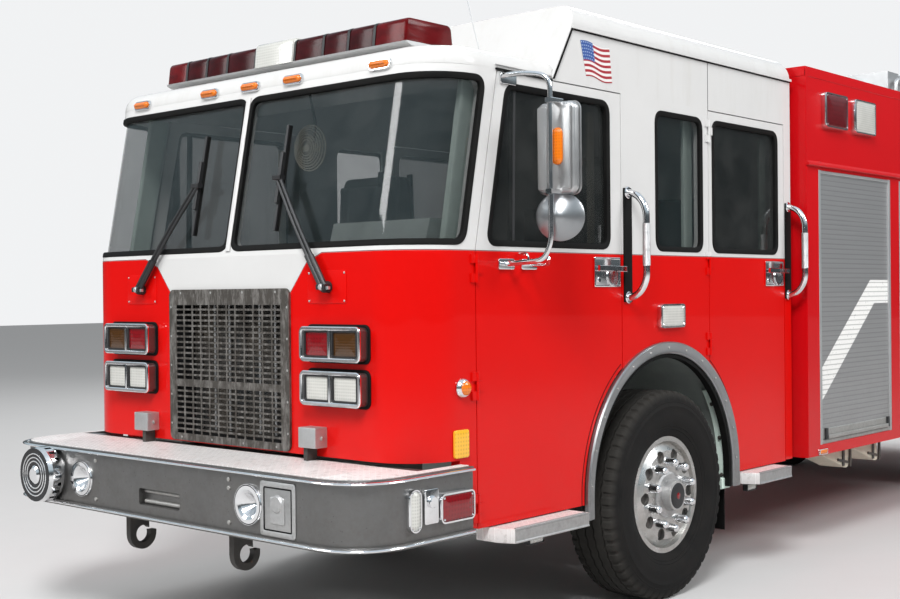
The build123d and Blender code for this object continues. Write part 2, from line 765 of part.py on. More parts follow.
# Frame: two channel rails with cross members, tow hooks and the ears that carry the cab's pivot
cross_backs = (-180.0, 700.0, cab_length - 529.0, body_front + 995.0, body_front + 2295.0)
cross_backs += (rear_axle_back + 751.0, frame_rear - 60.0)
cross_low = 760.0
ear_thick = 24.0
hook_x = 378.0
hook_back, hook_height = -225.0, 460.0
hook_radius, eye_radius = 72.0, 40.0
with BuildPart() as rails:
    for side in (1, -1):
        with BuildSketch(cross_plane(frame_rear)):
            with Locations((side * (rail_half - rail_flange / 2), (rail_low + rail_high) / 2)):
                Rectangle(rail_flange, rail_high - rail_low)
            with Locations((side * (rail_half - rail_flange / 2 - rail_web), (rail_low + rail_high) / 2)):
                Rectangle(rail_flange, rail_high - rail_low - 2 * rail_web, mode=Mode.SUBTRACT)
        extrude(amount=frame_rear - frame_front)
with BuildPart() as crossings:
    inner = rail_half - rail_web
    for back in cross_backs:
        block(-inner, inner, back - 40.0, back + 40.0, cross_low, rail_high - 30.0)
with BuildPart() as ears:
    bracket = (pivot_back - 40.0, pivot_back + 40.0, rail_low + 60.0, rail_high - 20.0)
    pair(rail_half, pivot_half + 40.0, *bracket)
    for side in (1, -1):
        x = side * pivot_half
        ear = (pivot_back - 28.0, pivot_back + 28.0, rail_high - 20.0, pivot_height)
        block(x - ear_thick / 2, x + ear_thick / 2, *ear)
        with BuildSketch(side_plane(x - ear_thick / 2)):
            with Locations((along(pivot_back), pivot_height)):
                Circle(28.0)
        extrude(amount=ear_thick)
        with BuildSketch(side_plane(x - 40.0)):
            with Locations((along(pivot_back), pivot_height)):
                Circle(15.0)
        extrude(amount=80.0)
keep(apart(rails, crossings, ears), "frame")

# Tow hooks under the front ends of the rails
with BuildPart() as tow_hooks:
    for side in (1, -1):
        with BuildSketch(side_plane(side * hook_x - 16.0)):
            with Locations((along(hook_back), hook_height)):
                Circle(hook_radius)
            with Locations((along(hook_back - 45.0), (hook_height + rail_low) / 2)):
                Rectangle(56.0, rail_low - hook_height)
            with Locations((along(hook_back), hook_height)):
                Circle(eye_radius, mode=Mode.SUBTRACT)
            with Locations((along(hook_back + 62.0), hook_height + 34.0)):
                Rectangle(60.0, 44.0, mode=Mode.SUBTRACT)
        extrude(amount=32.0)
keep(tow_hooks.part, "tow_hooks")

# Housings on the cab that hold the pivot pins
housing_half, housing_wall = 90.0, 12.0
pivot_gap = 0.05
with BuildPart() as pivots:
    for side in (1, -1):
        x = side * pivot_half
        low = pivot_height - 40.0
        high = pivot_height + 46.0
        block(x - housing_half, x + housing_half, pivot_back - 34.0 - housing_wall, 0.0, low, high)
        block(x - 22.0, x + 22.0, pivot_back - 60.0, 0.0, low - 1.0, high - housing_wall, Mode.SUBTRACT)
        with BuildSketch(side_plane(x - 100.0)):
            with Locations((along(pivot_back), pivot_height)):
                Circle(15.0 + pivot_gap)
        extrude(amount=200.0, mode=Mode.SUBTRACT)
keep(pivots.part, "tilt_pivots")


def bumper_plan(grow, height):
    """The bumper's outline from above, open to the rear, grown outwards."""
    half = bumper_half + grow
    start = bumper_front - grow
    with BuildSketch(Plane.XY.offset(height)) as plan:
        with Locations((0, along((start + 600.0) / 2))):
            Rectangle(2 * half, 600.0 - start)
        fillet(plan.vertices().group_by(Axis.Y)[0], bumper_corner + grow)
        with Locations((0, along(bumper_wrap + 400.0))):
            Rectangle(3 * half, 800.0, mode=Mode.SUBTRACT)
    return plan.sketch


# Bumper: a wrapped stainless channel with rolled lips, its deck and the pockets in its face
deck_thick = deck_height - rail_high
horn_half = 610.0
horn_height = 716.0
horn_neck, horn_rim = 68.0, 82.0
siren_x, siren_height = -878.0, 720.0
siren_radius, siren_proud, siren_boss = 132.0, 93.0, 112.0
socket_x, socket_height = 795.0, 717.0
with BuildPart() as bumper:
    extrude(bumper_plan(0.0, bumper_low), amount=deck_height - bumper_low)
    extrude(bumper_plan(lip_proud, bumper_low), amount=lip_thick)
    extrude(bumper_plan(6.0, deck_height - 14.0), amount=14.0)
    hollow_high = deck_height - bumper_low - deck_thick
    extrude(bumper_plan(-bumper_wall, bumper_low), amount=hollow_high, mode=Mode.SUBTRACT)
    block(-cab_half - 8.0, cab_half + 8.0, 60.0, 400.0, bumper_low, deck_height, Mode.SUBTRACT)
    for side in (1, -1):
        x = side * pivot_half
        block(x - 16.0, x + 16.0, pivot_back - 34.0, pivot_back + 34.0, 800.0, 900.0, Mode.SUBTRACT)
        with BuildSketch(cross_plane(bumper_front + 20.0)):
            with Locations((side * horn_half, horn_height)):
                Circle(horn_neck + 0.3)
        extrude(amount=60.0, mode=Mode.SUBTRACT)
    with BuildSketch(cross_plane(bumper_front + 20.0)):
        with Locations((-10.0, 676.0)):
            RectangleRounded(300.0, 74.0, 12.0)
        with Locations((socket_x, socket_height)):
            RectangleRounded(206.0, 214.0, 10.0)
    extrude(amount=60.0, mode=Mode.SUBTRACT)
    block(-220.0, 200.0, bumper_front + bumper_wall, bumper_front + 46.0, 624.0, 728.0)
    block(-160.0, 140.0, bumper_front + bumper_wall, bumper_front + 34.0, 640.0, 712.0, Mode.SUBTRACT)
    block(socket_x - 112.0, socket_x + 112.0, bumper_front + bumper_wall, bumper_front + 60.0, 602.0, 832.0)
    pocket = (socket_x - 100.0, socket_x + 100.0, bumper_front + bumper_wall, bumper_front + 54.0)
    block(*pocket, 613.0, 821.0, Mode.SUBTRACT)
    block(socket_x - 44.0, socket_x + 40.0, bumper_front + 4.0, bumper_front + 54.0, 650.0, 760.0)
keep(bumper.part, "bumper")

# Siren: a slotted drum that stands out of the bumper's face
with BuildPart() as siren:
    face = bumper_front - siren_proud
    with BuildSketch(cross_plane(bumper_front)):
        with Locations((siren_x, siren_height)):
            Circle(siren_boss)
    extrude(amount=2 * lip_proud)
    with BuildSketch(cross_plane(bumper_front - lip_proud - 1.0)):
        with Locations((siren_x, siren_height)):
            Circle(siren_radius)
    extrude(amount=siren_proud - lip_proud - 23.0)
    with BuildSketch(cross_plane(face + 22.0)):
        with Locations((siren_x, siren_height)):
            Circle(siren_radius)
    extrude(amount=22.0, taper=25)
    with BuildSketch(cross_plane(face + 30.0)):
        with Locations((siren_x, siren_height)):
            with PolarLocations(siren_radius - 12.0, 20):
                Rectangle(52.0, 17.0)
    extrude(amount=-34.0, mode=Mode.SUBTRACT)
    with BuildSketch(cross_plane(face + 14.0)):
        with Locations((siren_x, siren_height)):
            Circle(88.0)
            Circle(52.0, mode=Mode.SUBTRACT)
    extrude(amount=20.0, mode=Mode.SUBTRACT)
keep(siren.part, "siren")

# Air horns: trumpet bells behind the holes in the bumper's face
with BuildPart() as horns:
    for side in (1, -1):
        with BuildSketch(Plane.XY.offset(horn_height)):
            with BuildLine():
                x = side * horn_half
                face = along(bumper_front)
                mouth, throat = face - 12.0, along(-190.0)
                Polyline((x, throat), (x, along(-330.0)), (x + 50.0, mouth + 8.0), (x + 62.0, mouth))
                Polyline((x + 62.0, mouth), (x + horn_rim, mouth), (x + horn_rim, face))
                Line((x + horn_rim, face), (x + horn_neck, face))
                Line((x + horn_neck, face), (x + horn_neck, face + 12.0))
                ThreePointArc((x + horn_neck, face + 12.0), (x + 42.0, face + 70.0), (x + 30.0, throat))
                Line((x + 30.0, throat), (x, throat))
            make_face()
        revolve(axis=Axis((side * horn_half, 0, horn_height), (0, 1, 0)))
keep(horns.part, "air_horns")

# Lamps and outlet plate on the bumper's ends
with BuildPart() as bumper_lamps:
    for side in (1, -1):
        with BuildSketch(side_plane(side * bumper_half if side > 0 else -bumper_half - 18.0)):
            with Locations((along(-100.0), 718.0)):
                SlotOverall(180.0, 78.0, rotation=90)
            with Locations((along(-5.0), 725.0)):
                RectangleRounded(84.0, 142.0, 8.0)
            with Locations((along(150.0), 706.0)):
                RectangleRounded(216.0, 130.0, 26.0)
        extrude(amount=18.0)
keep(bumper_lamps.part, "bumper_lamps")

# Front axle beam with kingpin bosses
boss_radius, pin_radius = 48.0, 22.0
boss_low, boss_high = axle_height - 56.0, axle_height + 56.0
kingpin_back = front_axle_back
spring_x = 470.0
with BuildPart() as front_axle:
    with BuildSketch(cross_plane(front_axle_back + 42.0)):
        with BuildLine():
            side_run = [(600.0, 500.0), (700.0, 578.0), (820.0, 578.0)]
            side_run += [(820.0, 490.0), (690.0, 490.0), (590.0, 412.0)]
            Polyline(side_run + [(-x, height) for x, height in reversed(side_run)], close=True)
        make_face()
    extrude(amount=84.0)
    for side in (1, -1):
        with BuildSketch(Plane.XY.offset(boss_low)):
            with Locations((side * kingpin_half, along(kingpin_back))):
                Circle(boss_radius)
        extrude(amount=boss_high - boss_low)
        with BuildSketch(Plane.XY.offset(boss_low)):
            with Locations((side * kingpin_half, along(kingpin_back))):
                Circle(pin_radius)
        extrude(amount=boss_high - boss_low, mode=Mode.SUBTRACT)
keep(front_axle.part, "front_axle")

# Steering knuckle: a yoke round the boss with its pin, the wheel's spindle and the track arm
ear_gap = 2.0
arm_back = 230.0
arm_low, arm_high = 440.0, 470.0
spindle_radius = 40.0
fit_gap = 0.05
with BuildPart() as knuckle:
    pin_x, pin_y = kingpin_half, along(kingpin_back)
    for low, high in ((arm_low, boss_low - ear_gap), (boss_high + ear_gap, boss_high + 34.0)):
        with BuildSketch(Plane.XY.offset(low)):
            with Locations((pin_x, pin_y)):
                Circle(boss_radius)
            with Locations((pin_x + 46.0, pin_y)):
                Rectangle(92.0, 2 * boss_radius)
        extrude(amount=high - low)
    block(pin_x + 58.0, pin_x + 92.0, kingpin_back - 62.0, kingpin_back + 62.0, arm_low, boss_high + 34.0)
    with BuildSketch(Plane.XY.offset(arm_low)):
        with Locations((pin_x, pin_y)):
            Circle(pin_radius - fit_gap)
    extrude(amount=boss_high + 30.0 - arm_low)
    with BuildSketch(side_plane(pin_x + 90.0)):
        with Locations((along(front_axle_back), axle_height)):
            Circle(spindle_radius - fit_gap)
    extrude(amount=190.0)
    block(pin_x - 24.0, pin_x + 24.0, kingpin_back + 30.0, kingpin_back + arm_back, arm_low, arm_high)
    with BuildSketch(Plane.XY.offset(arm_low - 34.0)):
        with Locations((pin_x, along(kingpin_back + arm_back))):
            Circle(12.0)
    extrude(amount=34.0)
    with BuildSketch(Plane.XY.offset(arm_low)):
        with Locations((pin_x, along(kingpin_back + arm_back))):
            Circle(24.0)
    extrude(amount=arm_high - arm_low)
keep(knuckle.part, "knuckle_left")
with BuildPart() as knuckle_right:
    mirror(knuckle.part, about=Plane.YZ)
keep(knuckle_right.part, "knuckle_right")

# Tie rod under the two track arms
with BuildPart() as tie_rod:
    rod_y = along(kingpin_back + arm_back)
    for side in (1, -1):
        with BuildSketch(Plane.XY.offset(arm_low - 32.0)):
            with Locations((side * kingpin_half, rod_y)):
                Circle(28.0)
        extrude(amount=30.0)
    with BuildSketch(side_plane(-kingpin_half)):
        with Locations((rod_y, arm_low - 17.0)):
            Circle(14.0)
    extrude(amount=2 * kingpin_half)
    for side in (1, -1):
        with BuildSketch(Plane.XY.offset(arm_low - 40.0)):
            with Locations((side * kingpin_half, rod_y)):
                Circle(12.0 + fit_gap)
        extrude(amount=60.0, mode=Mode.SUBTRACT)
keep(tie_rod.part, "tie_rod")


def leaf_spring(back, seat_height, reach, width, x, eye_height, hanger):
    """A bowed pack of leaves with its hangers, which span the given x and height."""
    with BuildPart(mode=Mode.PRIVATE) as spring:
        front, rear = along(back - reach), along(back + reach)
        eye_low = eye_height - 26.0
        with BuildSketch(side_plane(x - width / 2)):
            with BuildLine():
                ThreePointArc((front, eye_height), (along(back), seat_height + 70.0), (rear, eye_height))
                Line((rear, eye_height), (rear, eye_low))
                ThreePointArc((rear, eye_low), (along(back), seat_height), (front, eye_low))
                Line((front, eye_low), (front, eye_height))
            make_face()
        extrude(amount=width)
        x0, x1, low, high = hanger
        for end in (-1, 1):
            block(x0, x1, back + end * reach - 26.0, back + end * reach + 26.0, low, high)
        clamp = (back - 75.0, back + 75.0, seat_height, seat_height + 40.0)
        block(x - width / 2 - 12.0, x + width / 2 + 12.0, *clamp)
    return spring.part


# Leaf springs over both axles: the front pair under the rails, the rear pair beside them
front_seat, tube_half = 500.0, 75.0
rear_seat = axle_height + tube_half
rear_spring_x = rail_half + 56.0
with BuildPart() as springs:
    add(leaf_spring(front_axle_back, front_seat, 640.0, 80.0, 390.0, 590.0, (350.0, 430.0, 550.0, rail_low)))
    rear_hanger = (rail_half, rear_spring_x + 45.0, 650.0, 760.0)
    add(leaf_spring(rear_axle_back, rear_seat, 700.0, 84.0, rear_spring_x, 700.0, rear_hanger))
    mirror(springs.part, about=Plane.YZ)
keep(springs.part, "springs")

# Engine as one plain block on its mounts, and the radiator behind the grille
engine_front, engine_rear = riser_front + 20.0, riser_rear - 280.0
with BuildPart() as engine:
    block(-335.0, 335.0, engine_front, engine_rear, 600.0, 1330.0)
    for back in (1350.0, 2100.0):
        block(-(rail_half - rail_web), rail_half - rail_web, back - 50.0, back + 50.0, 700.0, 760.0)
    block(-330.0, 330.0, 110.0, 210.0, 760.0, 1560.0)
    pair(330.0, 400.0, 110.0, 210.0, rail_high, 1560.0)
keep(engine.part, "engine")

# Rear axle with its final drive and the shaft from the engine
with BuildPart() as rear_axle:
    with BuildSketch(side_plane(-880.0)):
        with Locations((along(rear_axle_back), axle_height)):
            Circle(tube_half)
    extrude(amount=1760.0)
    with BuildSketch(side_plane(-1100.0)):
        with Locations((along(rear_axle_back), axle_height)):
            Circle(52.0 - fit_gap)
    extrude(amount=2200.0)
    with Locations((0, along(rear_axle_back), axle_height)):
        Sphere(190.0)
    with BuildSketch(cross_plane(rear_axle_back)):
        with Locations((0, axle_height)):
            Circle(70.0)
    extrude(amount=330.0)
    shaft = [(0, along(rear_axle_back - 300.0), axle_height), (0, along(engine_rear + 4.0), 700.0)]
    add(tube(shaft, 50.0, 0))
keep(rear_axle.part, "rear_axle")

# Fuel tank under the rails behind the rear axle
tank_front, tank_length = rear_axle_back + 471.0, 940.0
tank_half = rail_half - 12.0
with BuildPart() as fuel_tank:
    block(-tank_half, tank_half, tank_front, tank_front + tank_length, 390.0, rail_low)
    fillet(fuel_tank.edges().filter_by(Axis.X), 60.0)
    for back in (tank_front + 80.0, tank_front + tank_length - 120.0):
        pair(rail_half - 60.0, rail_half, back, back + 40.0, 600.0, rail_low)
keep(fuel_tank.part, "fuel_tank")

# Mudflaps: a pair on bars behind the front wheels and a pair under the body
flap_out = cab_half - 57.0
flap_back = front_axle_back + 669.0
rear_flap_back = rear_axle_back + 651.0
flap_low, flap_top = 250.0, 600.0
with BuildPart() as mudflaps:
    pair(rail_half - 60.0, flap_out, flap_back, flap_back + 20.0, flap_top, rail_low)
    pair(flap_out - 230.0, flap_out, flap_back + 6.0, flap_back + 14.0, flap_low, flap_top)
    pair(rail_half + 178.0, body_half - 30.0, rear_flap_back, rear_flap_back + 8.0, flap_low, body_low)
keep(mudflaps.part, "mudflaps")

# Body side panels with their shutter openings and the rear wheel arches
rear_arch = 620.0
arch_shutter_low = 1330.0
shutter_bays = (
    (body_front + 164.0, body_front + 1222.0, shutter_low),
    (body_front + 1360.0, rear_axle_back - 769.0, shutter_low),
    (rear_axle_back - 639.0, rear_axle_back + 641.0, arch_shutter_low),
    (rear_axle_back + 771.0, body_rear - 90.0, shutter_low),
)
with BuildPart() as body_sides:
    for x in (body_half - body_wall, -body_half):
        block(x, x + body_wall, body_front, body_rear, body_low, body_high - body_wall)
        for bay0, bay1, low in shutter_bays:
            block(x, x + body_wall, bay0, bay1, low, shutter_high, Mode.SUBTRACT)
        extrude(disc(rear_axle_back, axle_height, rear_arch, x), amount=body_wall, mode=Mode.SUBTRACT)
keep(body_sides.part, "body_sides")

# Body shell: end walls, stepped floor and the housings over the rear wheels
inside = body_half - body_wall
floor_inner = rail_half + 128.0
floor_high = rail_high + 40.0
rear_low, rear_high, rear_bay = 920.0, shutter_high, 620.0
tunnel_out = floor_inner + sheet
wall_top = body_high - body_wall
arch_reach = rear_arch + 2 * sheet
arch0, arch1 = rear_axle_back - arch_reach, rear_axle_back + arch_reach
slot0, slot1 = rear_axle_back - 120.0, rear_axle_back + 120.0
front0, front1 = body_front, body_front + body_wall
rear0, rear1 = body_rear - body_wall, body_rear
with BuildPart() as tunnel_roof:
    block(-floor_inner, floor_inner, body_front, body_rear, rail_high, floor_high)
with BuildPart() as tunnel_sides:
    pair(floor_inner, tunnel_out, body_front, body_rear, body_low, floor_high)
    for x in (floor_inner, -tunnel_out):
        extrude(disc(rear_axle_back, axle_height, rear_arch + sheet, x), amount=sheet)
    pair(floor_inner, tunnel_out, arch0, arch1, axle_height - arch_reach, body_low, Mode.SUBTRACT)
    pair(floor_inner, tunnel_out, slot0, slot1, body_low, 700.0, Mode.SUBTRACT)
with BuildPart() as low_floors:
    pair(tunnel_out, inside, body_front, body_rear, body_low, body_low + sheet)
    for x in (tunnel_out, -inside):
        width = inside - tunnel_out
        extrude(disc(rear_axle_back, axle_height, rear_arch + sheet, x), amount=width, mode=Mode.SUBTRACT)
with BuildPart() as housings:
    for x in (tunnel_out, -inside):
        extrude(disc(rear_axle_back, axle_height, rear_arch + sheet, x), amount=width)
        extrude(disc(rear_axle_back, axle_height, rear_arch, x), amount=width, mode=Mode.SUBTRACT)
    pair(tunnel_out, inside, arch0, arch1, axle_height - arch_reach, body_low, Mode.SUBTRACT)
with BuildPart() as tall_walls:
    block(-inside, inside, front0, front1, floor_high, wall_top)
    pair(rear_bay, inside, rear0, rear1, body_low + sheet, wall_top)
with BuildPart() as low_walls:
    pair(tunnel_out, inside, front0, front1, body_low + sheet, floor_high)
    block(-rear_bay, rear_bay, rear0, rear1, floor_high, rear_low)
    block(-rear_bay, rear_bay, rear0, rear1, rear_high, wall_top)
with BuildPart() as tail_walls:
    pair(tunnel_out, rear_bay, rear0, rear1, body_low + sheet, floor_high)
    block(-floor_inner, floor_inner, rear0, rear1, body_low, rail_high)
floors = (tunnel_roof, tunnel_sides, low_floors, housings)
keep(apart(*floors, tall_walls, low_walls, tail_walls), "body_shell")

# Body roof with rounded long edges
with BuildPart() as body_roof:
    block(-body_half, body_half, body_front, body_rear, body_high - body_wall, body_high)
    fillet(body_roof.faces().sort_by(Axis.Z)[-1].edges().filter_by(Axis.Y), 18.0)
keep(body_roof.part, "body_roof")

# Roll-up shutters of slats in every bay and at the rear
shutter_thick = 18.0
shutter_inset = 10.0
shutter_edge = 0.4
with BuildPart() as shutters:
    for side in (1, -1):
        face = body_half - shutter_inset
        x0, x1 = sorted((side * face, side * (face - shutter_thick)))
        top = shutter_high - shutter_edge
        for bay0, bay1, low in shutter_bays:
            block(x0, x1, bay0 + shutter_edge, bay1 - shutter_edge, low + shutter_edge, top)
    start = body_rear - shutter_inset - shutter_thick
    block(
        -rear_bay + shutter_edge, rear_bay - shutter_edge, start, start + shutter_thick,
        rear_low + shutter_edge, rear_high - shutter_edge,
    )
keep(shutters.part, "shutters")

# Lamps on the body: warning and scene lamps along the top, and the tail lamps
top_lamp_height = 2658.0
top_lamp_backs = (body_front + 405.0, body_front + 825.0, body_rear - 400.0)
with BuildPart() as body_lamps:
    for side in (1, -1):
        for back in top_lamp_backs:
            with BuildSketch(side_plane(body_half if side > 0 else -body_half - 30.0)):
                with Locations((along(back), top_lamp_height)):
                    RectangleRounded(310.0, 220.0, 28.0)
            extrude(amount=30.0)
        with BuildSketch(cross_plane(body_rear + 30.0)):
            for height in (1150.0, 1330.0, 1510.0, 2600.0):
                with Locations((side * 960.0, height)):
                    RectangleRounded(230.0, 150.0, 24.0)
        extrude(amount=30.0)
keep(body_lamps.part, "body_lamps")

# Tail step
tail_half = body_half - 65.0
with BuildPart() as rear_step:
    block(-tail_half, tail_half, body_rear, body_rear + tail_step, 520.0, 600.0)
    fillet(rear_step.edges().filter_by(Axis.Z).group_by(Axis.Y)[-1], 80.0)
keep(rear_step.part, "rear_step")

# Lockers on the body's roof
locker_inner, locker_height = 620.0, 160.0
with BuildPart() as roof_lockers:
    for side in (1, -1):
        x0, x1 = sorted((side * locker_inner, side * (body_half - 85.0)))
        block(x0, x1, body_front + 1395.0, body_rear - 250.0, body_high, body_high + locker_height)
keep(roof_lockers.part, "roof_lockers")

# Wheel chocks in their holders under the first bay
chock_x, chock_half, chock_low = body_half - 185.0, 90.0, 430.0
with BuildPart() as chocks:
    for side in (1, -1):
        for back in (body_front + 395.0, body_front + 845.0):
            wedge = [(back, chock_low + 40.0), (back + 60.0, body_low), (back + 330.0, body_low)]
            wedge += [(back + 380.0, chock_low), (back + 40.0, chock_low)]
            extrude(side_outline(wedge, side * chock_x - chock_half), amount=2 * chock_half)
keep(chocks.part, "wheel_chocks")

# Mouldings of the body: rear arch bands, the ledge over the shutters and the skirt rail
with BuildPart() as body_trim:
    for x in (body_half, -body_half - 18.0):
        with BuildSketch(side_plane(x)):
            with Locations((along(rear_axle_back), axle_height)):
                Circle(rear_arch + 55.0)
                Circle(rear_arch, mode=Mode.SUBTRACT)
            with Locations((along(rear_axle_back), body_low - 700.0)):
                Rectangle(1600.0, 1400.0, mode=Mode.SUBTRACT)
            with Locations((along((body_front + body_rear) / 2), shutter_high + 26.0)):
                Rectangle(body_rear - body_front, 14.0)
        extrude(amount=18.0)
keep(body_trim.part, "body_trim")


def axle_line(back):
    """The line a wheel turns about."""
    return Axis((0, along(back), axle_height), (1, 0, 0))


def turned(outlines, centre_x, back):
    """Solid turned about an axle from closed (offset from the wheel's middle, radius) outlines."""
    with BuildPart(mode=Mode.PRIVATE) as solid:
        with BuildSketch(Plane.XY.offset(axle_height)):
            for outline in outlines:
                points = [(centre_x + offset, along(back) + radius) for offset, radius in outline]
                with BuildLine():
                    Polyline(points, close=True)
                make_face()
        revolve(axis=axle_line(back))
    return solid.part


def drum(back, x0, x1, radius, mode=Mode.ADD):
    """Cylinder about an axle between two places across the vehicle."""
    extrude(disc(back, axle_height, radius, x0), amount=x1 - x0, mode=mode)


def bolt_ring(back, x0, x1, pitch_radius, radius, start_angle, mode=Mode.ADD):
    """Ten cylinders round an axle between two places across the vehicle."""
    with BuildSketch(side_plane(x0)) as ring:
        with Locations((along(back), axle_height)):
            with PolarLocations(pitch_radius, wheel_studs, start_angle=start_angle):
                Circle(radius)
    extrude(ring.sketch, amount=x1 - x0, mode=mode)


# Wheels: outlines as (offset from the rim's middle, radius)
tyre_half = tyre_width / 2
bead_half, flange_half = 102.5, 114.5
wheel_studs = 10
tyre_side = [(bead_half - 0.5, rim_bead + 0.3), (118.0, 302.0), (tyre_half, 393.0)]
tyre_side += [(140.0, 492.0), (112.0, tyre_radius)]
tyre_outline = tyre_side + [(-offset, radius) for offset, radius in reversed(tyre_side)]
barrel_side = [(40.0, rim_well), (62.0, rim_bead), (bead_half, rim_bead), (flange_half, rim_radius - 0.9)]
barrel_side += [(flange_half, 273.0), (66.0, 261.0), (44.0, 239.0)]
barrel_outline = barrel_side + [(-offset, radius) for offset, radius in reversed(barrel_side)]
disc_thick = 22.0
hand_hole_ring, hand_hole = 205.0, 31.0
nut_radius, nut_length = 18.0, 54.0

# Front wheel: the disc bulges out past the rim's outer flange
front_disc = [(101.0, 50.0), (123.0, 50.0), (123.0, 226.0), (112.0, 240.0), (88.0, 270.0), (72.0, 268.0)]
front_disc += [(94.0, 234.0), (101.0, 222.0)]
front_drum = [(-107.0, 195.0), (102.0, 195.0), (102.0, 160.0), (96.0, 160.0), (96.0, 190.0), (-107.0, 190.0)]
front_face = front_track_half + 123.0
with BuildPart() as front_rim:
    add(turned([barrel_outline], front_track_half, front_axle_back))
    add(turned([front_disc], front_track_half, front_axle_back))
    holes = (hand_hole_ring, hand_hole, 0.0, Mode.SUBTRACT)
    bolt_ring(front_axle_back, front_face - 90.0, front_face + 5.0, *holes)
    drum(front_axle_back, 965.0, front_face + 12.0, 105.0)
    drum(front_axle_back, front_face, front_face + 60.0, 75.0)
    add(turned([front_drum], front_track_half, front_axle_back))
    bolt_ring(front_axle_back, front_face, front_face + nut_length, stud_circle, nut_radius, 18.0)
    drum(front_axle_back, 955.0, 1150.0, spindle_radius, Mode.SUBTRACT)

# Rear wheel: two rims bolted back to back, with the disc of the outer one deep inside
twin_inner = twin_outer - twin_spacing
meeting = twin_outer - twin_spacing / 2
offset = meeting - twin_outer
rear_disc = [(offset, 50.0), (offset + disc_thick, 50.0), (offset + disc_thick, 220.0), (-128.0, 236.0)]
rear_disc += [(-80.0, 270.0), (-98.0, 276.0), (-140.0, 252.0), (offset, 230.0)]
rear_drum = [(-50.0, 205.0), (149.0, 205.0), (149.0, 60.0), (143.0, 60.0), (143.0, 195.0), (-50.0, 195.0)]
with BuildPart() as rear_rim:
    for middle, sign in ((twin_outer, 1), (twin_inner, -1)):
        disc_outline = [(sign * across, radius) for across, radius in rear_disc]
        add(turned([barrel_outline], middle, rear_axle_back))
        add(turned([disc_outline], middle, rear_axle_back))
    drum(rear_axle_back, 885.0, 1120.0, 105.0)
    add(turned([rear_drum], twin_inner, rear_axle_back))
    drum(rear_axle_back, 870.0, 1110.0, 52.0, Mode.SUBTRACT)
    rear_face = meeting + disc_thick
    bolt_ring(rear_axle_back, rear_face - 8.0, rear_face + nut_length, stud_circle, nut_radius, 18.0)
    bolt_ring(rear_axle_back, meeting - 60.0, meeting + 60.0, *holes)

front_tyre = turned([tyre_outline], front_track_half, front_axle_back)
with BuildPart() as rear_tyres:
    add(turned([tyre_outline], twin_outer, rear_axle_back))
    add(turned([tyre_outline], twin_inner, rear_axle_back))
for side, flip in (("left", False), ("right", True)):
    for name, piece in (
        ("tyre_front", front_tyre),
        ("rim_front", front_rim.part),
        ("tyre_rear", rear_tyres.part),
        ("rim_rear", rear_rim.part),
    ):
        part = mirror(piece, about=Plane.YZ) if flip else piece
        keep(part, f"{name}_{side}")
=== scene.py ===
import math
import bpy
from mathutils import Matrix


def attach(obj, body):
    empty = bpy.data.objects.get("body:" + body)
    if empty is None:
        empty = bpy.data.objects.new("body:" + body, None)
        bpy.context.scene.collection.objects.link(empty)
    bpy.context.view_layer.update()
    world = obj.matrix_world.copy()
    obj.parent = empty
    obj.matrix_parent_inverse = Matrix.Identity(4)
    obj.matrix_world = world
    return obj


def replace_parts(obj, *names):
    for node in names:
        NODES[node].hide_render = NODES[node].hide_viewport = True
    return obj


bl_info = {
    "name": "Rescue fire engine",
    "version": (1, 0, 0),
    "blender": (4, 5, 0),
    "location": "3D View > Sidebar > Fire engine",
    "description": "Dresses the packed rescue fire engine with paint, glass, lamps, trim and wheels",
    "category": "Object",
}

import bmesh
import bpy
import numpy as np
from mathutils import Matrix, Vector

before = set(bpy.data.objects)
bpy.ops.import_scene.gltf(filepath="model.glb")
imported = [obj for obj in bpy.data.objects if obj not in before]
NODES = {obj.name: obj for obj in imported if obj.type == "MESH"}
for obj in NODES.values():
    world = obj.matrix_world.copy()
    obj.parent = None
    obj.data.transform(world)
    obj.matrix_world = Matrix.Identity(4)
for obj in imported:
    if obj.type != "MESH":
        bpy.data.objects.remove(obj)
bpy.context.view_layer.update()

# Places in metres. CAB_FRONT is row Y of the cab's front wall; the places along the vehicle that
# follow are distances back from it.
CAB_FRONT = -4.222
FRONT_AXLE = 1.869
REAR_AXLE = 6.949
BODY_START = 3.305
TAIL = 8.650
BUMPER_FACE = -0.390
AXLE_HEIGHT = 0.534
ARCH_HEIGHT = 0.601
CAB_SIDE = 1.192
BODY_SIDE = 1.265
BELT = 1.755
CORNER = 0.25
RAKE = math.atan(150.0 / 785.0)
TAU = 2.0 * math.pi
SIDES = (1, -1)
SEATS = (("left", "+x", 1), ("right", "-x", -1))
OUT = (1, 0, 0)
AHEAD = (0, -1, 0)


# Shader expressions


def maths(operation, swapped=False):
    """Makes a method that adds one Math node; swapped puts the other operand first."""

    def method(self, *others):
        operands = (*others, self) if swapped else (self, *others)
        return self.tree.node("ShaderNodeMath", {"operation": operation}, *operands)

    return method


class Value:
    """A shader socket that takes part in Python expressions; every operator adds its node."""

    def __init__(self, tree, socket):
        self.tree = tree
        self.socket = socket

    __add__ = __radd__ = maths("ADD")
    __sub__ = maths("SUBTRACT")
    __rsub__ = maths("SUBTRACT", swapped=True)
    __mul__ = __rmul__ = maths("MULTIPLY")
    __truediv__ = maths("DIVIDE")
    __abs__ = maths("ABSOLUTE")
    low = maths("MINIMUM")
    high = maths("MAXIMUM")
    sine = maths("SINE")
    root = maths("SQRT")
    fraction = maths("FRACT")
    rounded_down = maths("FLOOR")

    def above(self, edge, soft=0.002):
        """0 below the edge, 1 above it, with a soft step as wide as soft."""
        clamped = {"operation": "ADD", "use_clamp": True}
        return self.tree.node("ShaderNodeMath", clamped, (self - edge) / soft, 0.5)

    def within(self, place, half, soft):
        """1 within half of a place and 0 beyond it."""
        return 1.0 - abs(self - place).above(half, soft)


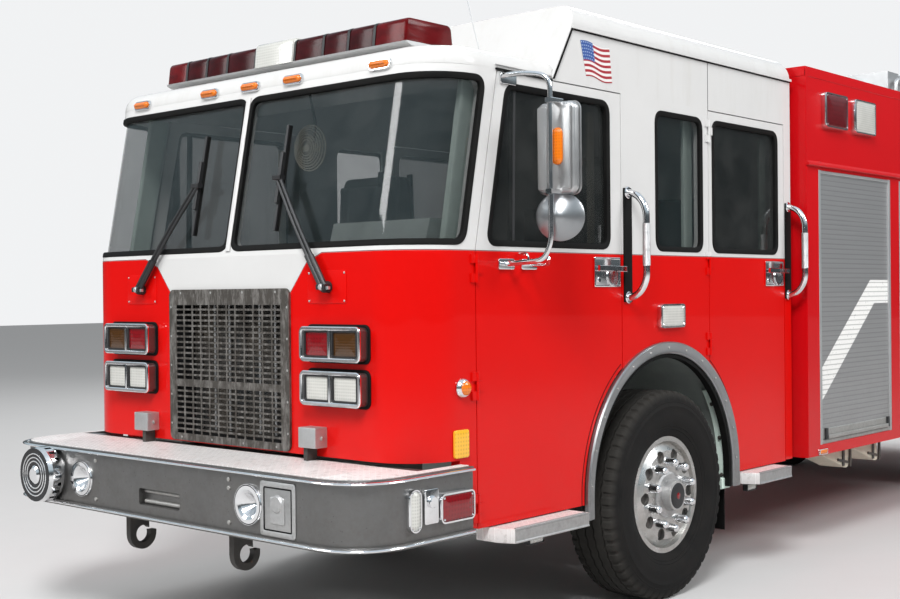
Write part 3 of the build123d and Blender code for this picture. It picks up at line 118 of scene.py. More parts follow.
class Nodes:
    """A node tree, with one method that adds any node."""

    def __init__(self, tree):
        self.nodes, self.links = tree.nodes, tree.links
        self.nodes.clear()

    def feed(self, socket, value):
        """Links a value to a socket, or sets the socket to a number, vector or colour."""
        if isinstance(value, Value):
            self.links.new(value.socket, socket)
        else:
            socket.default_value = (*value, 1.0) if socket.type == "RGBA" and len(value) == 3 else value

    def node(self, kind, settings, *inputs, sockets=None, **named):
        """Adds a node: its settings first, then the values or links of its sockets, which are
        given in order, by number or by name with underscores for spaces."""
        node = self.nodes.new(kind)
        out = 0
        for key, value in settings.items():
            if key == "out":
                out = value
            elif key == "stops":
                elements = node.color_ramp.elements
                while len(elements) < len(value):
                    elements.new(0.5)
                for element, (position, tone) in zip(elements, value):
                    element.position, element.color = position, (*tone, 1.0)
            else:
                setattr(node, key, value)
        for key, value in [*enumerate(inputs), *(sockets or {}).items(), *named.items()]:
            self.feed(node.inputs[key if isinstance(key, int) else key.replace("_", " ")], value)
        return Value(self, node.outputs[out]) if node.outputs else None

    def split(self, vector):
        """The three components of a vector."""
        parts = self.node("ShaderNodeSeparateXYZ", {}, vector).socket.node.outputs
        return [Value(self, part) for part in parts]


class Tree(Nodes):
    """The node tree of one material."""

    def __init__(self, name):
        self.material = bpy.data.materials.new(name)
        self.material.use_nodes = True
        super().__init__(self.material.node_tree)
        self.place = self.node("ShaderNodeTexCoord", {"out": "Object"})
        self.x, self.y, self.z = self.split(self.place)

    def mix(self, share, first, second):
        """Blends two colours by a share from 0 to 1."""
        settings = {"data_type": "RGBA", "out": 2}
        return self.node("ShaderNodeMix", settings, sockets={0: share, 6: first, 7: second})

    def noise(self, scale, detail=3.0, rough=0.5, stretch=None):
        """Smooth noise from 0 to 1 over the object's own coordinates."""
        place = self.place
        if stretch:
            place = self.node("ShaderNodeVectorMath", {"operation": "MULTIPLY"}, place, stretch)
        return self.node("ShaderNodeTexNoise", {}, Vector=place, Scale=scale, Detail=detail, Roughness=rough)

    def cells(self, scale):
        """Distance to the nearest of scattered points."""
        return self.node("ShaderNodeTexVoronoi", {"out": "Distance"}, Vector=self.place, Scale=scale)

    def close(self, tone, rough, metal=0.0, height=None, depth=0.001, coat=0.0, alpha=1.0, sheen=0.0,
              glow=(1.0, 1.0, 1.0), glow_strength=0.0, specular=0.5, coat_rough=0.05):
        """Adds the surface shader, with bump from a height of 0 to 1 and its depth in metres."""
        shader = self.node("ShaderNodeBsdfPrincipled", {}, Base_Color=tone, Roughness=rough, Metallic=metal,
                           Coat_Weight=coat, Alpha=alpha, Sheen_Weight=sheen, Specular_IOR_Level=specular,
                           Coat_Roughness=coat_rough, Emission_Color=glow, Emission_Strength=glow_strength)
        if height is not None:
            bump = self.node("ShaderNodeBump", {}, Strength=1.0, Distance=depth, Height=height)
            self.feed(shader.socket.node.inputs["Normal"], bump)
        self.node("ShaderNodeOutputMaterial", {}, shader)
        return self.material


MATERIALS = {}


def finish(name):
    """Material by name, made the first time it is asked for."""
    if name not in MATERIALS:
        recipe, *rest = RECIPES[name]
        MATERIALS[name] = recipe(name, *rest)
    return MATERIALS[name]


def settings():
    return bpy.context.scene.fire_engine


def colour(name):
    return tuple(getattr(settings(), name))


def dim(base, share):
    return tuple(c * share for c in base)


def dusty(tree, base, amount):
    """Road dust that thickens towards the ground, over a base colour."""
    film = tree.noise(6.0, 6.0, 0.65) * tree.noise(55.0, 4.0, 0.6) * 2.4
    share = (1.0 - tree.z.above(0.95, 0.9)) * film * amount
    return tree.mix(share.low(0.8), base, (0.16, 0.14, 0.12)), share


def paint(tree, base, dust=0.06):
    """Glossy two-pack paint with faint orange peel, small chips and road dust."""
    peel = tree.noise(260.0, 2.0, 0.5)
    wave = tree.noise(3.0, 2.0, 0.4)
    shade = tree.mix(tree.noise(2.2, 4.0, 0.6) * 0.10, base, (0.0, 0.0, 0.0))
    chips = tree.cells(90.0).above(0.035, 0.012)
    speck = (1.0 - chips) * tree.noise(5.0).above(0.66, 0.05) * (1.0 - tree.z.above(1.0, 0.6))
    shade = tree.mix(speck * 0.5, shade, (0.25, 0.2, 0.18))
    shade, film = dusty(tree, shade, dust)
    rough = 0.3 + film * 0.5 + tree.noise(30.0, 4.0) * 0.06
    return tree.close(shade, rough, 0.0, peel * 0.04 + wave, 0.0004, coat=0.28, specular=0.06,
                      coat_rough=0.03)


def two_tone(name):
    """Red below the belt line and white above it, with the notch that frames the grille."""
    tree = Tree(name)
    across = abs(tree.x)
    edge = (1.585 + (across - 0.436) * 1.22).low(1.713 + (across - 0.54) * 0.42).low(1.7545).high(1.585)
    base = tree.mix(tree.z.above(edge, 0.0015), colour("cab_red"), colour("cab_white"))
    seam = abs(tree.z - edge - 0.002).above(0.0016, 0.0012)
    return paint(tree, tree.mix(seam, (0.12, 0.02, 0.02), base))


def cab_white(name):
    """White paint with faint upright streaks of rain dirt."""
    tree = Tree(name)
    streak = tree.noise(14.0, 5.0, 0.7, (1.0, 1.0, 0.12)).above(0.62, 0.2) * 0.16
    return paint(tree, tree.mix(streak, colour("cab_white"), (0.45, 0.43, 0.38)), 0.05)


def body_red(name):
    return paint(Tree(name), colour("body_red"))


def steel(name, base=(0.56, 0.55, 0.53), rough=0.3, grain=(2.0, 60.0, 60.0), wear=0.35):
    """Brushed stainless steel with drawn grain, water marks and road grime."""
    tree = Tree(name)
    brush = tree.noise(22.0, 4.0, 0.7, grain)
    marks = tree.noise(5.0, 6.0, 0.7).above(0.5, 0.35)
    tone = tree.mix(marks * wear, base, dim(base, 0.62))
    tone = tree.mix(tree.cells(40.0).above(0.09, 0.05), dim(base, 0.45), tone)
    tone, film = dusty(tree, tone, 0.5)
    return tree.close(tone, rough + brush * 0.2 + marks * 0.1 + film * 0.4, 0.95, brush, 0.0002)


def chrome(name):
    """Bright plating with fine swirl and a little grime."""
    tree = Tree(name)
    swirl = tree.noise(160.0, 3.0, 0.6)
    grime = tree.noise(9.0, 5.0, 0.7).above(0.58, 0.2)
    tone = tree.mix(grime * 0.3, (0.78, 0.78, 0.79), (0.42, 0.4, 0.37))
    return tree.close(tone, 0.07 + grime * 0.16 + swirl * 0.04, 1.0, swirl, 0.0001)


def satin_metal(name, base=(0.6, 0.6, 0.6), rough=0.36):
    """Satin aluminium with fine scratches and dull patches."""
    tree = Tree(name)
    scratch = tree.noise(30.0, 5.0, 0.7, (1.0, 0.08, 1.0))
    dull = tree.noise(4.0, 6.0, 0.6).above(0.5, 0.3)
    tone, film = dusty(tree, tree.mix(dull * 0.35, base, dim(base, 0.7)), 0.45)
    return tree.close(tone, rough + dull * 0.12 + scratch * 0.1 + film * 0.3, 0.9, scratch, 0.0002)


def tread_plate(name):
    """Raised lozenges, alternately slanted, on worn aluminium plate; they show on level faces."""
    tree = Tree(name)
    diagonal = 0.023 * 1.414

    def bars(sign, shift):
        along = (tree.x + sign * tree.y) / diagonal + shift
        cross = (tree.x - sign * tree.y) / diagonal + shift
        du = abs(along.fraction() - 0.5) * 2.2
        dv = abs(cross.fraction() - 0.5) * 7.5
        row = ((along.rounded_down() + cross.rounded_down()) * 0.5).fraction().above(0.25, 0.01)
        bar = 1.0 - (du * du + dv * dv).above(0.8, 0.5)
        return bar * (row if sign > 0 else 1.0 - row)

    lozenge = bars(1, 0.0).high(bars(-1, 0.0))
    wear = tree.noise(7.0, 5.0, 0.7)
    tone = tree.mix(lozenge * 0.55 + wear * 0.2, (0.66, 0.64, 0.63), (0.95, 0.94, 0.93))
    tone = tree.mix(tree.noise(30.0, 6.0, 0.7).above(0.62, 0.2) * 0.5, tone, (0.2, 0.18, 0.16))
    return tree.close(tone, 0.46 - lozenge * 0.16 + wear * 0.1, 0.15, lozenge, 0.0016)


def chassis_black(name):
    """Satin chassis paint under a film of road dirt with rust at the worst places."""
    tree = Tree(name)
    film = tree.noise(8.0, 6.0, 0.7).above(0.45, 0.4)
    rust = tree.noise(17.0, 6.0, 0.75).above(0.66, 0.1)
    tone = tree.mix(film * 0.7, (0.014, 0.014, 0.015), (0.09, 0.08, 0.07))
    tone = tree.mix(rust * 0.7, tone, (0.16, 0.06, 0.025))
    return tree.close(tone, 0.5 + film * 0.35, 0.0, film + rust, 0.0008)


def cast_metal(name):
    """Sandy casting under an oily film."""
    tree = Tree(name)
    sand = tree.noise(120.0, 5.0, 0.7)
    film = tree.noise(5.0, 6.0, 0.7).above(0.5, 0.3)
    tone = tree.mix(film, (0.05, 0.052, 0.055), (0.13, 0.11, 0.09))
    return tree.close(tone, 0.62 + sand * 0.2, 0.4, sand, 0.0012)


def rubber(name):
    """Fine-grained rubber with a pale bloom."""
    tree = Tree(name)
    grain = tree.noise(180.0, 3.0, 0.6)
    bloom = tree.noise(6.0, 5.0, 0.7).above(0.5, 0.3)
    tone = tree.mix(bloom * 0.2, (0.004, 0.004, 0.004), (0.028, 0.027, 0.025))
    return tree.close(tone, 0.6 + bloom * 0.15, 0.0, grain, 0.0004, specular=0.1)


def wheel_radius(tree):
    """Distance from the nearer axle: the root of dy^2 + dz^2, with the axles parted at row Y 0.2."""
    front = 1.0 - tree.y.above(0.2, 0.01)
    dy = tree.y - (front * (CAB_FRONT + FRONT_AXLE) + (1.0 - front) * (CAB_FRONT + REAR_AXLE))
    dz = tree.z - AXLE_HEIGHT
    return (dy * dy + dz * dz).root()


def tyre_rubber(name):
    """Tyre wall with moulded rings about its axle, dusty and greyed towards the tread."""
    tree = Tree(name)
    radius = wheel_radius(tree)
    rings = radius.within(0.335, 0.0022, 0.002) + radius.within(0.352, 0.0016, 0.002)
    rings = rings + radius.within(0.476, 0.002, 0.002)
    grain = tree.noise(90.0, 4.0, 0.65)
    dust = tree.noise(11.0, 6.0, 0.7).above(0.42, 0.4)
    tone = tree.mix(dust * 0.3, (0.006, 0.006, 0.006), (0.035, 0.032, 0.03))
    tone = tree.mix(radius.above(0.505, 0.03) * 0.35, tone, (0.06, 0.056, 0.05))
    return tree.close(tone, 0.62 + dust * 0.25, 0.0, grain * 0.3 + rings, 0.0022, specular=0.12)


def turned_metal(name):
    """Polished forged wheel with faint turning marks and brake dust round the holes."""
    tree = Tree(name)
    marks = (wheel_radius(tree) * 2600.0).sine() * 0.5 + 0.5
    dust = tree.noise(13.0, 6.0, 0.7).above(0.48, 0.3)
    tone = tree.mix(dust * 0.4, (0.56, 0.555, 0.54), (0.26, 0.235, 0.21))
    tone = tree.mix(tree.cells(75.0).above(0.10, 0.06), (0.3, 0.27, 0.23), tone)
    return tree.close(tone, 0.2 + dust * 0.22 + marks * 0.04, 0.95, marks, 0.00008)


def glazing(name, tint=(0.008, 0.018, 0.02), alpha=0.3):
    """Tinted safety glass with a faint film of dust and dried drops."""
    tree = Tree(name)
    film = tree.noise(5.0, 6.0, 0.7).above(0.5, 0.4)
    drops = 1.0 - tree.cells(120.0).above(0.05, 0.03)
    haze = film * 0.06 + drops * film * 0.25
    tone = tree.mix(haze, tint, (0.5, 0.5, 0.48))
    return tree.close(tone, 0.02 + haze * 0.5, alpha=(haze + alpha).low(1.0), specular=0.9)


def lens(name, tint, alpha, ribs, glow):
    """Moulded lamp lens with upright flutes, darker in its depths."""
    tree = Tree(name)
    flutes = ((tree.x + tree.y) * (ribs * math.pi)).sine() * 0.5 + 0.5
    rows = (tree.z * (ribs * math.pi)).sine() * 0.5 + 0.5
    depth = tree.noise(14.0, 3.0, 0.5)
    tone = tree.mix(flutes * rows * 0.4 + depth * 0.25, tint, dim(tint, 0.35))
    return tree.close(tone, 0.12 + flutes * 0.08, 0.0, flutes + rows * 0.6, 0.0003, coat=0.35,
                      alpha=alpha, glow=tint, glow_strength=glow)


def dome_lens(name, tint):
    """Smooth tinted dome that darkens in uneven patches, as lamps stand behind it."""
    tree = Tree(name)
    patch = tree.noise(11.0, 3.0, 0.5, (1.0, 0.5, 2.0)).above(0.5, 0.25)
    tone = tree.mix(patch * 0.55, tint, dim(tint, 0.3))
    film = tree.noise(40.0, 4.0, 0.6)
    return tree.close(tone, 0.16 + film * 0.08, 0.0, patch, 0.0004, alpha=0.97, specular=0.12)


def plastic(name, base, rough, grain=220.0):
    """Grained moulded plastic with handling marks."""
    tree = Tree(name)
    texture = tree.noise(grain, 3.0, 0.6)
    rub = tree.noise(6.0, 5.0, 0.7).above(0.55, 0.25)
    tone = tree.mix(rub * 0.25, base, tuple(min(1.0, c * 1.5 + 0.02) for c in base))
    return tree.close(tone, rough + texture * 0.12 - rub * 0.08, 0.0, texture, 0.0003)


def seat_cloth(name):
    """Woven hard-wearing cloth: two thread directions crossing, with a little pilling."""
    tree = Tree(name)
    thread = ((tree.z + tree.y) * 900.0).sine()
    warp = ((tree.x * 900.0).sine() * 0.5 + 0.5) * thread.high(0.0)
    weft = thread * 0.5 + 0.5
    pile = tree.noise(140.0, 5.0, 0.7)
    tone = tree.mix(warp * 0.5 + pile * 0.3, (0.035, 0.037, 0.042), (0.12, 0.125, 0.135))
    return tree.close(tone, 0.85, 0.0, warp + weft * 0.6 + pile * 0.4, 0.0008, sheen=0.3)


def shutter_slats(name):
    """Anodised slats with dark joints and a white band that slants up and runs on level."""
    tree = Tree(name)
    behind = tree.y - CAB_FRONT
    top = (1.061 + (behind - 3.464) * 0.757).low(1.632)
    bottom = (0.879 + (behind - 3.487) * 0.7646).low(1.483)
    band = tree.z.above(bottom, 0.003) * (1.0 - tree.z.above(top, 0.003)) * (1.0 - behind.above(8.6, 0.01))
    chips = tree.noise(60.0, 5.0, 0.7).above(0.36, 0.05)
    grain = tree.noise(26.0, 4.0, 0.7, (1.0, 0.06, 3.0))
    short_bay = behind.above(6.24, 0.01) * (1.0 - behind.above(7.65, 0.01))
    phase = ((tree.z - 0.731 - short_bay * 0.689) / settings().slat_pitch).fraction()
    joint = abs(phase - 0.5).above(0.39, 0.06)
    metal = tree.mix(grain * 0.5 + 0.08, (0.5, 0.5, 0.5), (0.26, 0.26, 0.27))
    tone = tree.mix(band * chips * 0.92, metal, (0.88, 0.88, 0.86))
    tone = tree.mix(joint * (0.28 + band * 0.2), tone, (0.10, 0.10, 0.10))
    tone, film = dusty(tree, tone, 0.3)
    return tree.close(tone, 0.36 + band * 0.14 + grain * 0.1 + film * 0.3, 0.75 - band * 0.65, grain, 0.0002)


def perforated_dark(name):
    """Weathered dark stainless of the grille plate, with scuffs that catch the light."""
    tree = Tree(name)
    scuff = tree.noise(12.0, 6.0, 0.75)
    bright = tree.noise(45.0, 6.0, 0.7, (1.0, 1.0, 0.3)).above(0.55, 0.2)
    tone = tree.mix(bright * 0.7, (0.10, 0.09, 0.08), (0.36, 0.34, 0.32))
    return tree.close(tone, 0.42 + scuff * 0.2, 0.85, scuff, 0.0006)


def flag_cloth(name):
    """Generic striped decal with a blue corner of pale dots, mapped by the piece's own UV."""
    tree = Tree(name)
    u, v, _ = tree.split(tree.node("ShaderNodeTexCoord", {"out": "UV"}))
    stripe = (v * 6.5 + 0.25).fraction().above(0.5, 0.04)
    corner = (1.0 - u.above(0.42, 0.008)) * v.above(0.46, 0.008)
    du = (u * 14.0).fraction() - 0.5
    dv = (v * 11.0).fraction() - 0.5
    dot = 1.0 - (du * du + dv * dv).above(0.05, 0.02)
    tone = tree.mix(stripe, (0.33, 0.008, 0.02), (0.72, 0.70, 0.68))
    blue = tree.mix(dot, (0.012, 0.06, 0.26), (0.36, 0.45, 0.62))
    return tree.close(tree.mix(corner, tone, blue), 0.4 + stripe * 0.03, 0.0, tree.noise(90.0), 0.0001,
                      coat=0.2)


# Each finish: its recipe and what the recipe is called with after the name.
RECIPES = {
    "cab two-tone": (two_tone,),
    "cab white": (cab_white,),
    "body red": (body_red,),
    "bumper stainless": (steel, (0.21, 0.21, 0.21), 0.22, (2.0, 2.0, 90.0), 0.5),
    "brushed stainless": (steel,),
    "bright plating": (chrome,),
    "satin aluminium": (satin_metal,),
    "bright moulding": (satin_metal, (0.52, 0.52, 0.52), 0.26),
    "arch bright": (satin_metal, (0.33, 0.34, 0.35), 0.2),
    "mirror glass": (satin_metal, (0.82, 0.84, 0.85), 0.0),
    "tread plate": (tread_plate,),
    "chassis black": (chassis_black,),
    "cast metal": (cast_metal,),
    "black rubber": (rubber,),
    "tyre rubber": (tyre_rubber,),
    "forged wheel": (turned_metal,),
    "window glass": (glazing,),
    "side glass": (glazing, (0.003, 0.005, 0.005), 0.6),
    "red lens": (lens, (0.22, 0.003, 0.007), 0.95, 110.0, 0.0),
    "deep red lens": (lens, (0.13, 0.003, 0.007), 0.97, 70.0, 0.0),
    "amber lens": (lens, (0.85, 0.20, 0.006), 0.95, 150.0, 0.03),
    "dark amber lens": (lens, (0.07, 0.027, 0.004), 0.97, 170.0, 0.0),
    "clear lens": (lens, (0.66, 0.66, 0.62), 0.9, 150.0, 0.0),
    # Painted light: the side reflector's yellow lens glows faintly, though it holds no lamp, to stand in for the
    # light it throws back.
    "yellow lens": (lens, (0.9, 0.48, 0.03), 0.95, 120.0, 0.05),
    "dome lens": (dome_lens, (0.042, 0.0008, 0.002)),
    "dome ends": (dome_lens, (0.11, 0.0015, 0.003)),
    "window post": (plastic, (0.62, 0.76, 0.68), 0.75),
    "interior grey": (plastic, (0.26, 0.29, 0.275), 0.7),
    "post cover": (plastic, (0.40, 0.48, 0.44), 0.75),
    "black plastic": (plastic, (0.01, 0.01, 0.011), 0.45),
    "ivory plastic": (plastic, (0.55, 0.5, 0.4), 0.45, 60.0),
    "seat cloth": (seat_cloth,),
    "shutter slats": (shutter_slats,),
    "grille plate": (perforated_dark,),
    "flag decal": (flag_cloth,),
}

NODE_FINISH = {
    "cab two-tone": "cab_front cab_walls door_front_left door_front_right door_crew_left door_crew_right",
    "cab white": "cab_roof",
    "body red": "body_shell body_sides",
    "bumper stainless": "bumper headlamps",
    "bright plating": "siren air_horns mirror_left mirror_right",
    "satin aluminium": "body_roof roof_lockers fuel_tank",
    "bright moulding": "arch_trims body_trim grab_rails",
    "tread plate": "cab_steps rear_step",
    "chassis black": "frame tow_hooks front_axle knuckle_left knuckle_right tie_rod springs rear_axle tilt_pivots",
    "cast metal": "engine",
    "black rubber": "mudflaps",
    "tyre rubber": "tyre_front_left tyre_front_right tyre_rear_left tyre_rear_right",
    "forged wheel": "rim_front_left rim_front_right rim_rear_left rim_rear_right",
    "window glass": "cab_glass",
    "side glass": "glass_front_left glass_front_right glass_crew_left glass_crew_right",
    "amber lens": "cab_lamps",
    "red lens": "light_bar body_lamps bumper_lamps",
    "interior grey": "cab_floor dash",
    "black plastic": "wipers steering_wheel",
    "seat cloth": "seats",
    "shutter slats": "shutters",
    "grille plate": "grille",
    "ivory plastic": "wheel_chocks",
}


# Surfaces


def grid(points, around=False, caps=True):
    """Quads over an array of points [rows, columns, 3]; around closes the columns into a ring, and
    caps closes the first and last rows of a ring with a face each."""
    rows, columns = points.shape[:2]
    index = np.arange(rows * columns).reshape(rows, columns)
    right = np.roll(index, -1, axis=1) if around else index[:, 1:]
    left = index if around else index[:, :-1]
    quads = np.stack([left[:-1], right[:-1], right[1:], left[1:]], -1).reshape(-1, 4)
    ends = [index[0][::-1], index[-1]] if around and caps else []
    return points.reshape(-1, 3), quads, ends


def join(forms):
    """Several forms as one."""
    points, quads, ends, shift = [], [], [], 0
    for part, faces, caps in forms:
        points.append(part)
        quads.append(faces + shift)
        ends.extend([cap + shift for cap in caps])
        shift += len(part)
    return np.concatenate(points), np.concatenate(quads), ends


def moved(form, matrix):
    """The form under a 4 by 4 matrix."""
    turn = np.array(matrix)
    points, quads, ends = form
    return points @ turn[:3, :3].T + turn[:3, 3], quads, ends


def flipped(form):
    """The form on the other side of the vehicle: x changes sign."""
    points, quads, ends = form
    return points * np.array([-1.0, 1.0, 1.0]), quads[:, ::-1], [cap[::-1] for cap in ends]


def both(forms):
    """The form, or the list of forms as one, and its mirror image."""
    form = join(forms) if isinstance(forms, list) else forms
    return join([form, flipped(form)])


def back(distance):
    """Row Y of a place measured back from the cab's front wall, in metres."""
    return CAB_FRONT + distance


def shift(x, y, z):
    return Matrix.Translation((x, y, z))


def turned(degrees, axis):
    return Matrix.Rotation(math.radians(degrees), 4, axis)


def facing(axis):
    """Turn that takes +Z to the named direction and keeps local Y up where it can."""
    x, y, z = {
        "-y": ((1, 0, 0), (0, 0, 1), (0, -1, 0)),
        "+y": ((-1, 0, 0), (0, 0, 1), (0, 1, 0)),
        "+x": ((0, 1, 0), (0, 0, 1), (1, 0, 0)),
        "-x": ((0, -1, 0), (0, 0, 1), (-1, 0, 0)),
    }[axis]
    return Matrix((x, y, z)).transposed().to_4x4()


def at(axis, x, distance, z, tilt=0.0):
    """Seat that faces along an axis at (x, distance back, z)."""
    return shift(x, back(distance), z) @ Matrix.Rotation(tilt, 4, "X") @ facing(axis)


def fixed(form, *seat):
    """The form set on a seat, which is what at is called with."""
    return moved(form, at(*seat))


def rounded(width, height, radius, count=6):
    """Rounded rectangle: each quarter circle is centre + radius (cos t, sin t)."""
    radius = min(radius, width / 2 - 1e-5, height / 2 - 1e-5)
    t = np.linspace(0, math.pi / 2, count)
    parts = []
    for i, (sx, sy) in enumerate(((1, 1), (-1, 1), (-1, -1), (1, -1))):
        turn = t + i * math.pi / 2
        parts.append(np.stack([sx * (width / 2 - radius) + radius * np.cos(turn),
                               sy * (height / 2 - radius) + radius * np.sin(turn)], -1))
    return np.concatenate(parts)


def pad(width, height, radius, thick, edge=0.003, dome=0.0, count=6, steps=4):
    """Rounded plate on the local XY plane: rings shrink by edge (1 - cos t) while they rise by
    edge sin t, then a dome rises over the face as a paraboloid."""
    rings = [(0.0, 0.0)]
    for t in np.linspace(0, math.pi / 2, steps):
        rings.append((edge * (1 - math.cos(t)), thick - edge + edge * math.sin(t)))
    if dome:
        reach = min(width, height) / 2 - edge
        for s in np.linspace(0.15, 0.92, 6):
            rings.append((edge + reach * s, thick + dome * (1 - (1 - s) ** 2)))
    points = []
    for inset, rise in rings:
        size = [max(length - 2 * inset, 1e-4) for length in (width, height)]
        flat = rounded(*size, max(radius - inset, 1e-4), count)
        points.append(np.column_stack([flat, np.full(len(flat), rise)]))
    return grid(np.array(points), around=True)


def spun(profile, count, caps=True):
    """Profile of (radius, height) points turned about local Z: x = r cos t, y = r sin t."""
    profile = np.asarray(profile, float)
    t = np.linspace(0, TAU, count, endpoint=False)
    r, z = profile[:, 0:1], profile[:, 1:2]
    return grid(np.stack([r * np.cos(t), r * np.sin(t), z + 0 * t], -1), around=True, caps=caps)


def band(inner, outer, low, high, count, edge=0.001):
    """Flat ring with broken edges, spun from its closed section."""
    section = [(inner, low), (outer, low), (outer, high - edge), (outer - edge, high), (inner + edge, high),
               (inner, high - edge), (inner, low)]
    return spun(section, count, caps=False)


def carried(path, profile, closed=False, up=(0, 0, 1)):
    """Profile (k, 2) carried along a path (n, 3): each point is p + a side + b lift, with side =
    tangent x up and lift = side x tangent."""
    path = np.asarray(path, float)
    profile = np.asarray(profile, float)
    if closed:
        tangent = np.roll(path, -1, 0) - np.roll(path, 1, 0)
    else:
        tangent = np.gradient(path, axis=0)
    tangent /= np.linalg.norm(tangent, axis=1, keepdims=True)
    up = np.broadcast_to(np.asarray(up, float), path.shape)
    side = np.cross(tangent, up)
    side /= np.linalg.norm(side, axis=1, keepdims=True) + 1e-12
    lift = np.cross(side, tangent)
    points = path[:, None] + profile[None, :, 0:1] * side[:, None] + profile[None, :, 1:2] * lift[:, None]
    if closed:
        points = np.concatenate([points, points[:1]])
    return grid(points, around=True, caps=not closed)


def circle(radius, count, squash=1.0):
    t = np.linspace(0, TAU, count, endpoint=False)
    return np.stack([radius * np.cos(t), radius * squash * np.sin(t)], -1)


def oblong(a0, a1, b0, b1):
    """Section of a flat strip from its two ranges."""
    return [(a0, b0), (a1, b0), (a1, b1), (a0, b1)]


def smooth_path(points, radius, count=6):
    """Polyline whose corners are rounded with quadratic arcs of the given reach."""
    points = np.asarray(points, float)
    result = [points[0]]
    for before, corner, after in zip(points[:-2], points[1:-1], points[2:]):
        a, b = before - corner, after - corner
        reach = min(radius, np.linalg.norm(a) / 2, np.linalg.norm(b) / 2)
        start = corner + a / np.linalg.norm(a) * reach
        end = corner + b / np.linalg.norm(b) * reach
        for t in np.linspace(0, 1, count):
            result.append((1 - t) ** 2 * start + 2 * t * (1 - t) * corner + t ** 2 * end)
    result.append(points[-1])
    return np.array(result)


def outward_faces(mesh, weld):
    """Welds points that coincide and turns the mesh's faces outwards."""
    work = bmesh.new()
    work.from_mesh(mesh)
    if weld:
        bmesh.ops.remove_doubles(work, verts=work.verts, dist=weld)
    bmesh.ops.recalc_face_normals(work, faces=work.faces)
    work.to_mesh(mesh)
    work.free()


def put(name, form, finish_name, body, slot=None, smooth=True, weld=1e-5, uv=None):
    """Makes a piece from a form or a list of forms, and lets it ride on its body."""
    points, quads, ends = join(form) if isinstance(form, list) else form
    mesh = bpy.data.meshes.new(name)
    mesh.from_pydata(points.tolist(), [], quads.tolist() + [cap.tolist() for cap in ends])
    if uv is not None:
        layer = mesh.uv_layers.new(name="UVMap")
        loops = np.zeros(len(mesh.loops), dtype=int)
        mesh.loops.foreach_get("vertex_index", loops)
        layer.data.foreach_set("uv", uv[loops].ravel())
    outward_faces(mesh, weld)
    mesh.polygons.foreach_set("use_smooth", [smooth] * len(mesh.polygons))
    if smooth:
        mesh.set_sharp_from_angle(angle=math.radians(35))
    piece = bpy.data.objects.new(name, mesh)
    bpy.context.scene.collection.objects.link(piece)
    mesh.materials.append(finish(finish_name))
    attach(piece, body)
    return piece


def pair(name, form, finish_name, body, slot=None, **more):
    """A left piece and its mirror image by side; a body that ends with _ takes the side's name too."""
    form = join(form) if isinstance(form, list) else form
    pieces = {}
    for side, shape in (("left", form), ("right", flipped(form))):
        rides = body + side if body.endswith("_") else body
        pieces[side] = put(f"{name}_{side}", shape, finish_name, rides, slot, **more)
    return pieces


def loop(corners, radius, step=0.012):
    """Closed outline with rounded corners, sampled at even steps along its length."""
    corners = np.asarray(corners, float)
    middle = (corners[0] + corners[-1]) / 2
    path = smooth_path([middle, *corners, middle], radius, 9)
    path = path[np.r_[True, np.linalg.norm(np.diff(path, axis=0), axis=1) > 1e-9]]
    length = np.r_[0.0, np.cumsum(np.linalg.norm(np.diff(path, axis=0), axis=1))]
    places = np.linspace(0, length[-1], max(24, int(length[-1] / step)), endpoint=False)
    return np.stack([np.interp(places, length, column) for column in path.T], -1)


def rake(height):
    """How far back the windscreen leans above the belt line."""
    return np.maximum(0.0, np.asarray(height, float) - BELT) * math.tan(RAKE)


def skin(across, height):
    """Cab front: across runs from the middle line over the flat front, round the corner as a
    quarter circle and back along the side. Gives the points and the outward directions."""
    flat = CAB_SIDE - CORNER
    bend = np.clip((across - flat) / CORNER, 0, math.pi / 2)
    lean = np.where(height > BELT, RAKE, 0.0)
    beyond = np.maximum(0.0, across - flat - CORNER * math.pi / 2)
    x = np.minimum(across, flat) + CORNER * np.sin(bend)
    y = back(rake(height)) + CORNER * (1 - np.cos(bend)) / np.cos(lean) + beyond
    normal = np.stack([np.sin(bend), -np.cos(bend) * np.cos(lean), np.cos(bend) * np.sin(lean)], -1)
    return np.stack([x, y, height], -1), normal


def strip(path, profile):
    """Profile of (outwards, proud) points carried round a closed outline on the vehicle's side; the
    outline is turned so that the first number points away from its middle."""
    tangent = np.roll(path, -1, 0) - np.roll(path, 1, 0)
    away = np.einsum("ij,ij->i", np.cross(tangent, OUT), path - path.mean(0))
    return carried(path[::-1] if away.sum() < 0 else path, profile, closed=True, up=OUT)


def placed(points):
    """Points in the row frame from (x, distance back, z)."""
    return np.array(points) + (0, CAB_FRONT, 0)


def on_side(outline, x):
    """Points on the plane of one x from (distance back, height) pairs."""
    outline = np.asarray(outline, float)
    return np.column_stack([np.full(len(outline), x), back(outline[:, 0]), outline[:, 1]])


def bar(start, end, width, depth, up=(0, 0, 1)):
    """Straight bar with chamfered edges between two points."""
    w, d, c = width / 2, depth / 2, 0.15 * min(width, depth)
    section = [(-w + c, -d), (w - c, -d), (w, -d + c), (w, d - c), (w - c, d), (-w + c, d), (-w, d - c),
               (-w, -d + c)]
    return carried(np.array([start, end], float), section, up=up)


def beam(x, distance, z, width, depth, up=(0, 0, 1)):
    """Bar whose ends differ in those of x, distance back and z that are given as pairs."""
    x, distance, z = (np.broadcast_to(value, 2) for value in (x, distance, z))
    ends = np.column_stack([x, back(distance), z])
    return bar(ends[0], ends[1], width, depth, up)


def rod(points, radius, bend=0.05, count=12, up=(0, 0, 1)):
    """Round bar along a path with rounded corners."""
    path = smooth_path(points, bend, 8) if len(points) > 2 else np.array(points, float)
    return carried(path, circle(radius, count), up=up)


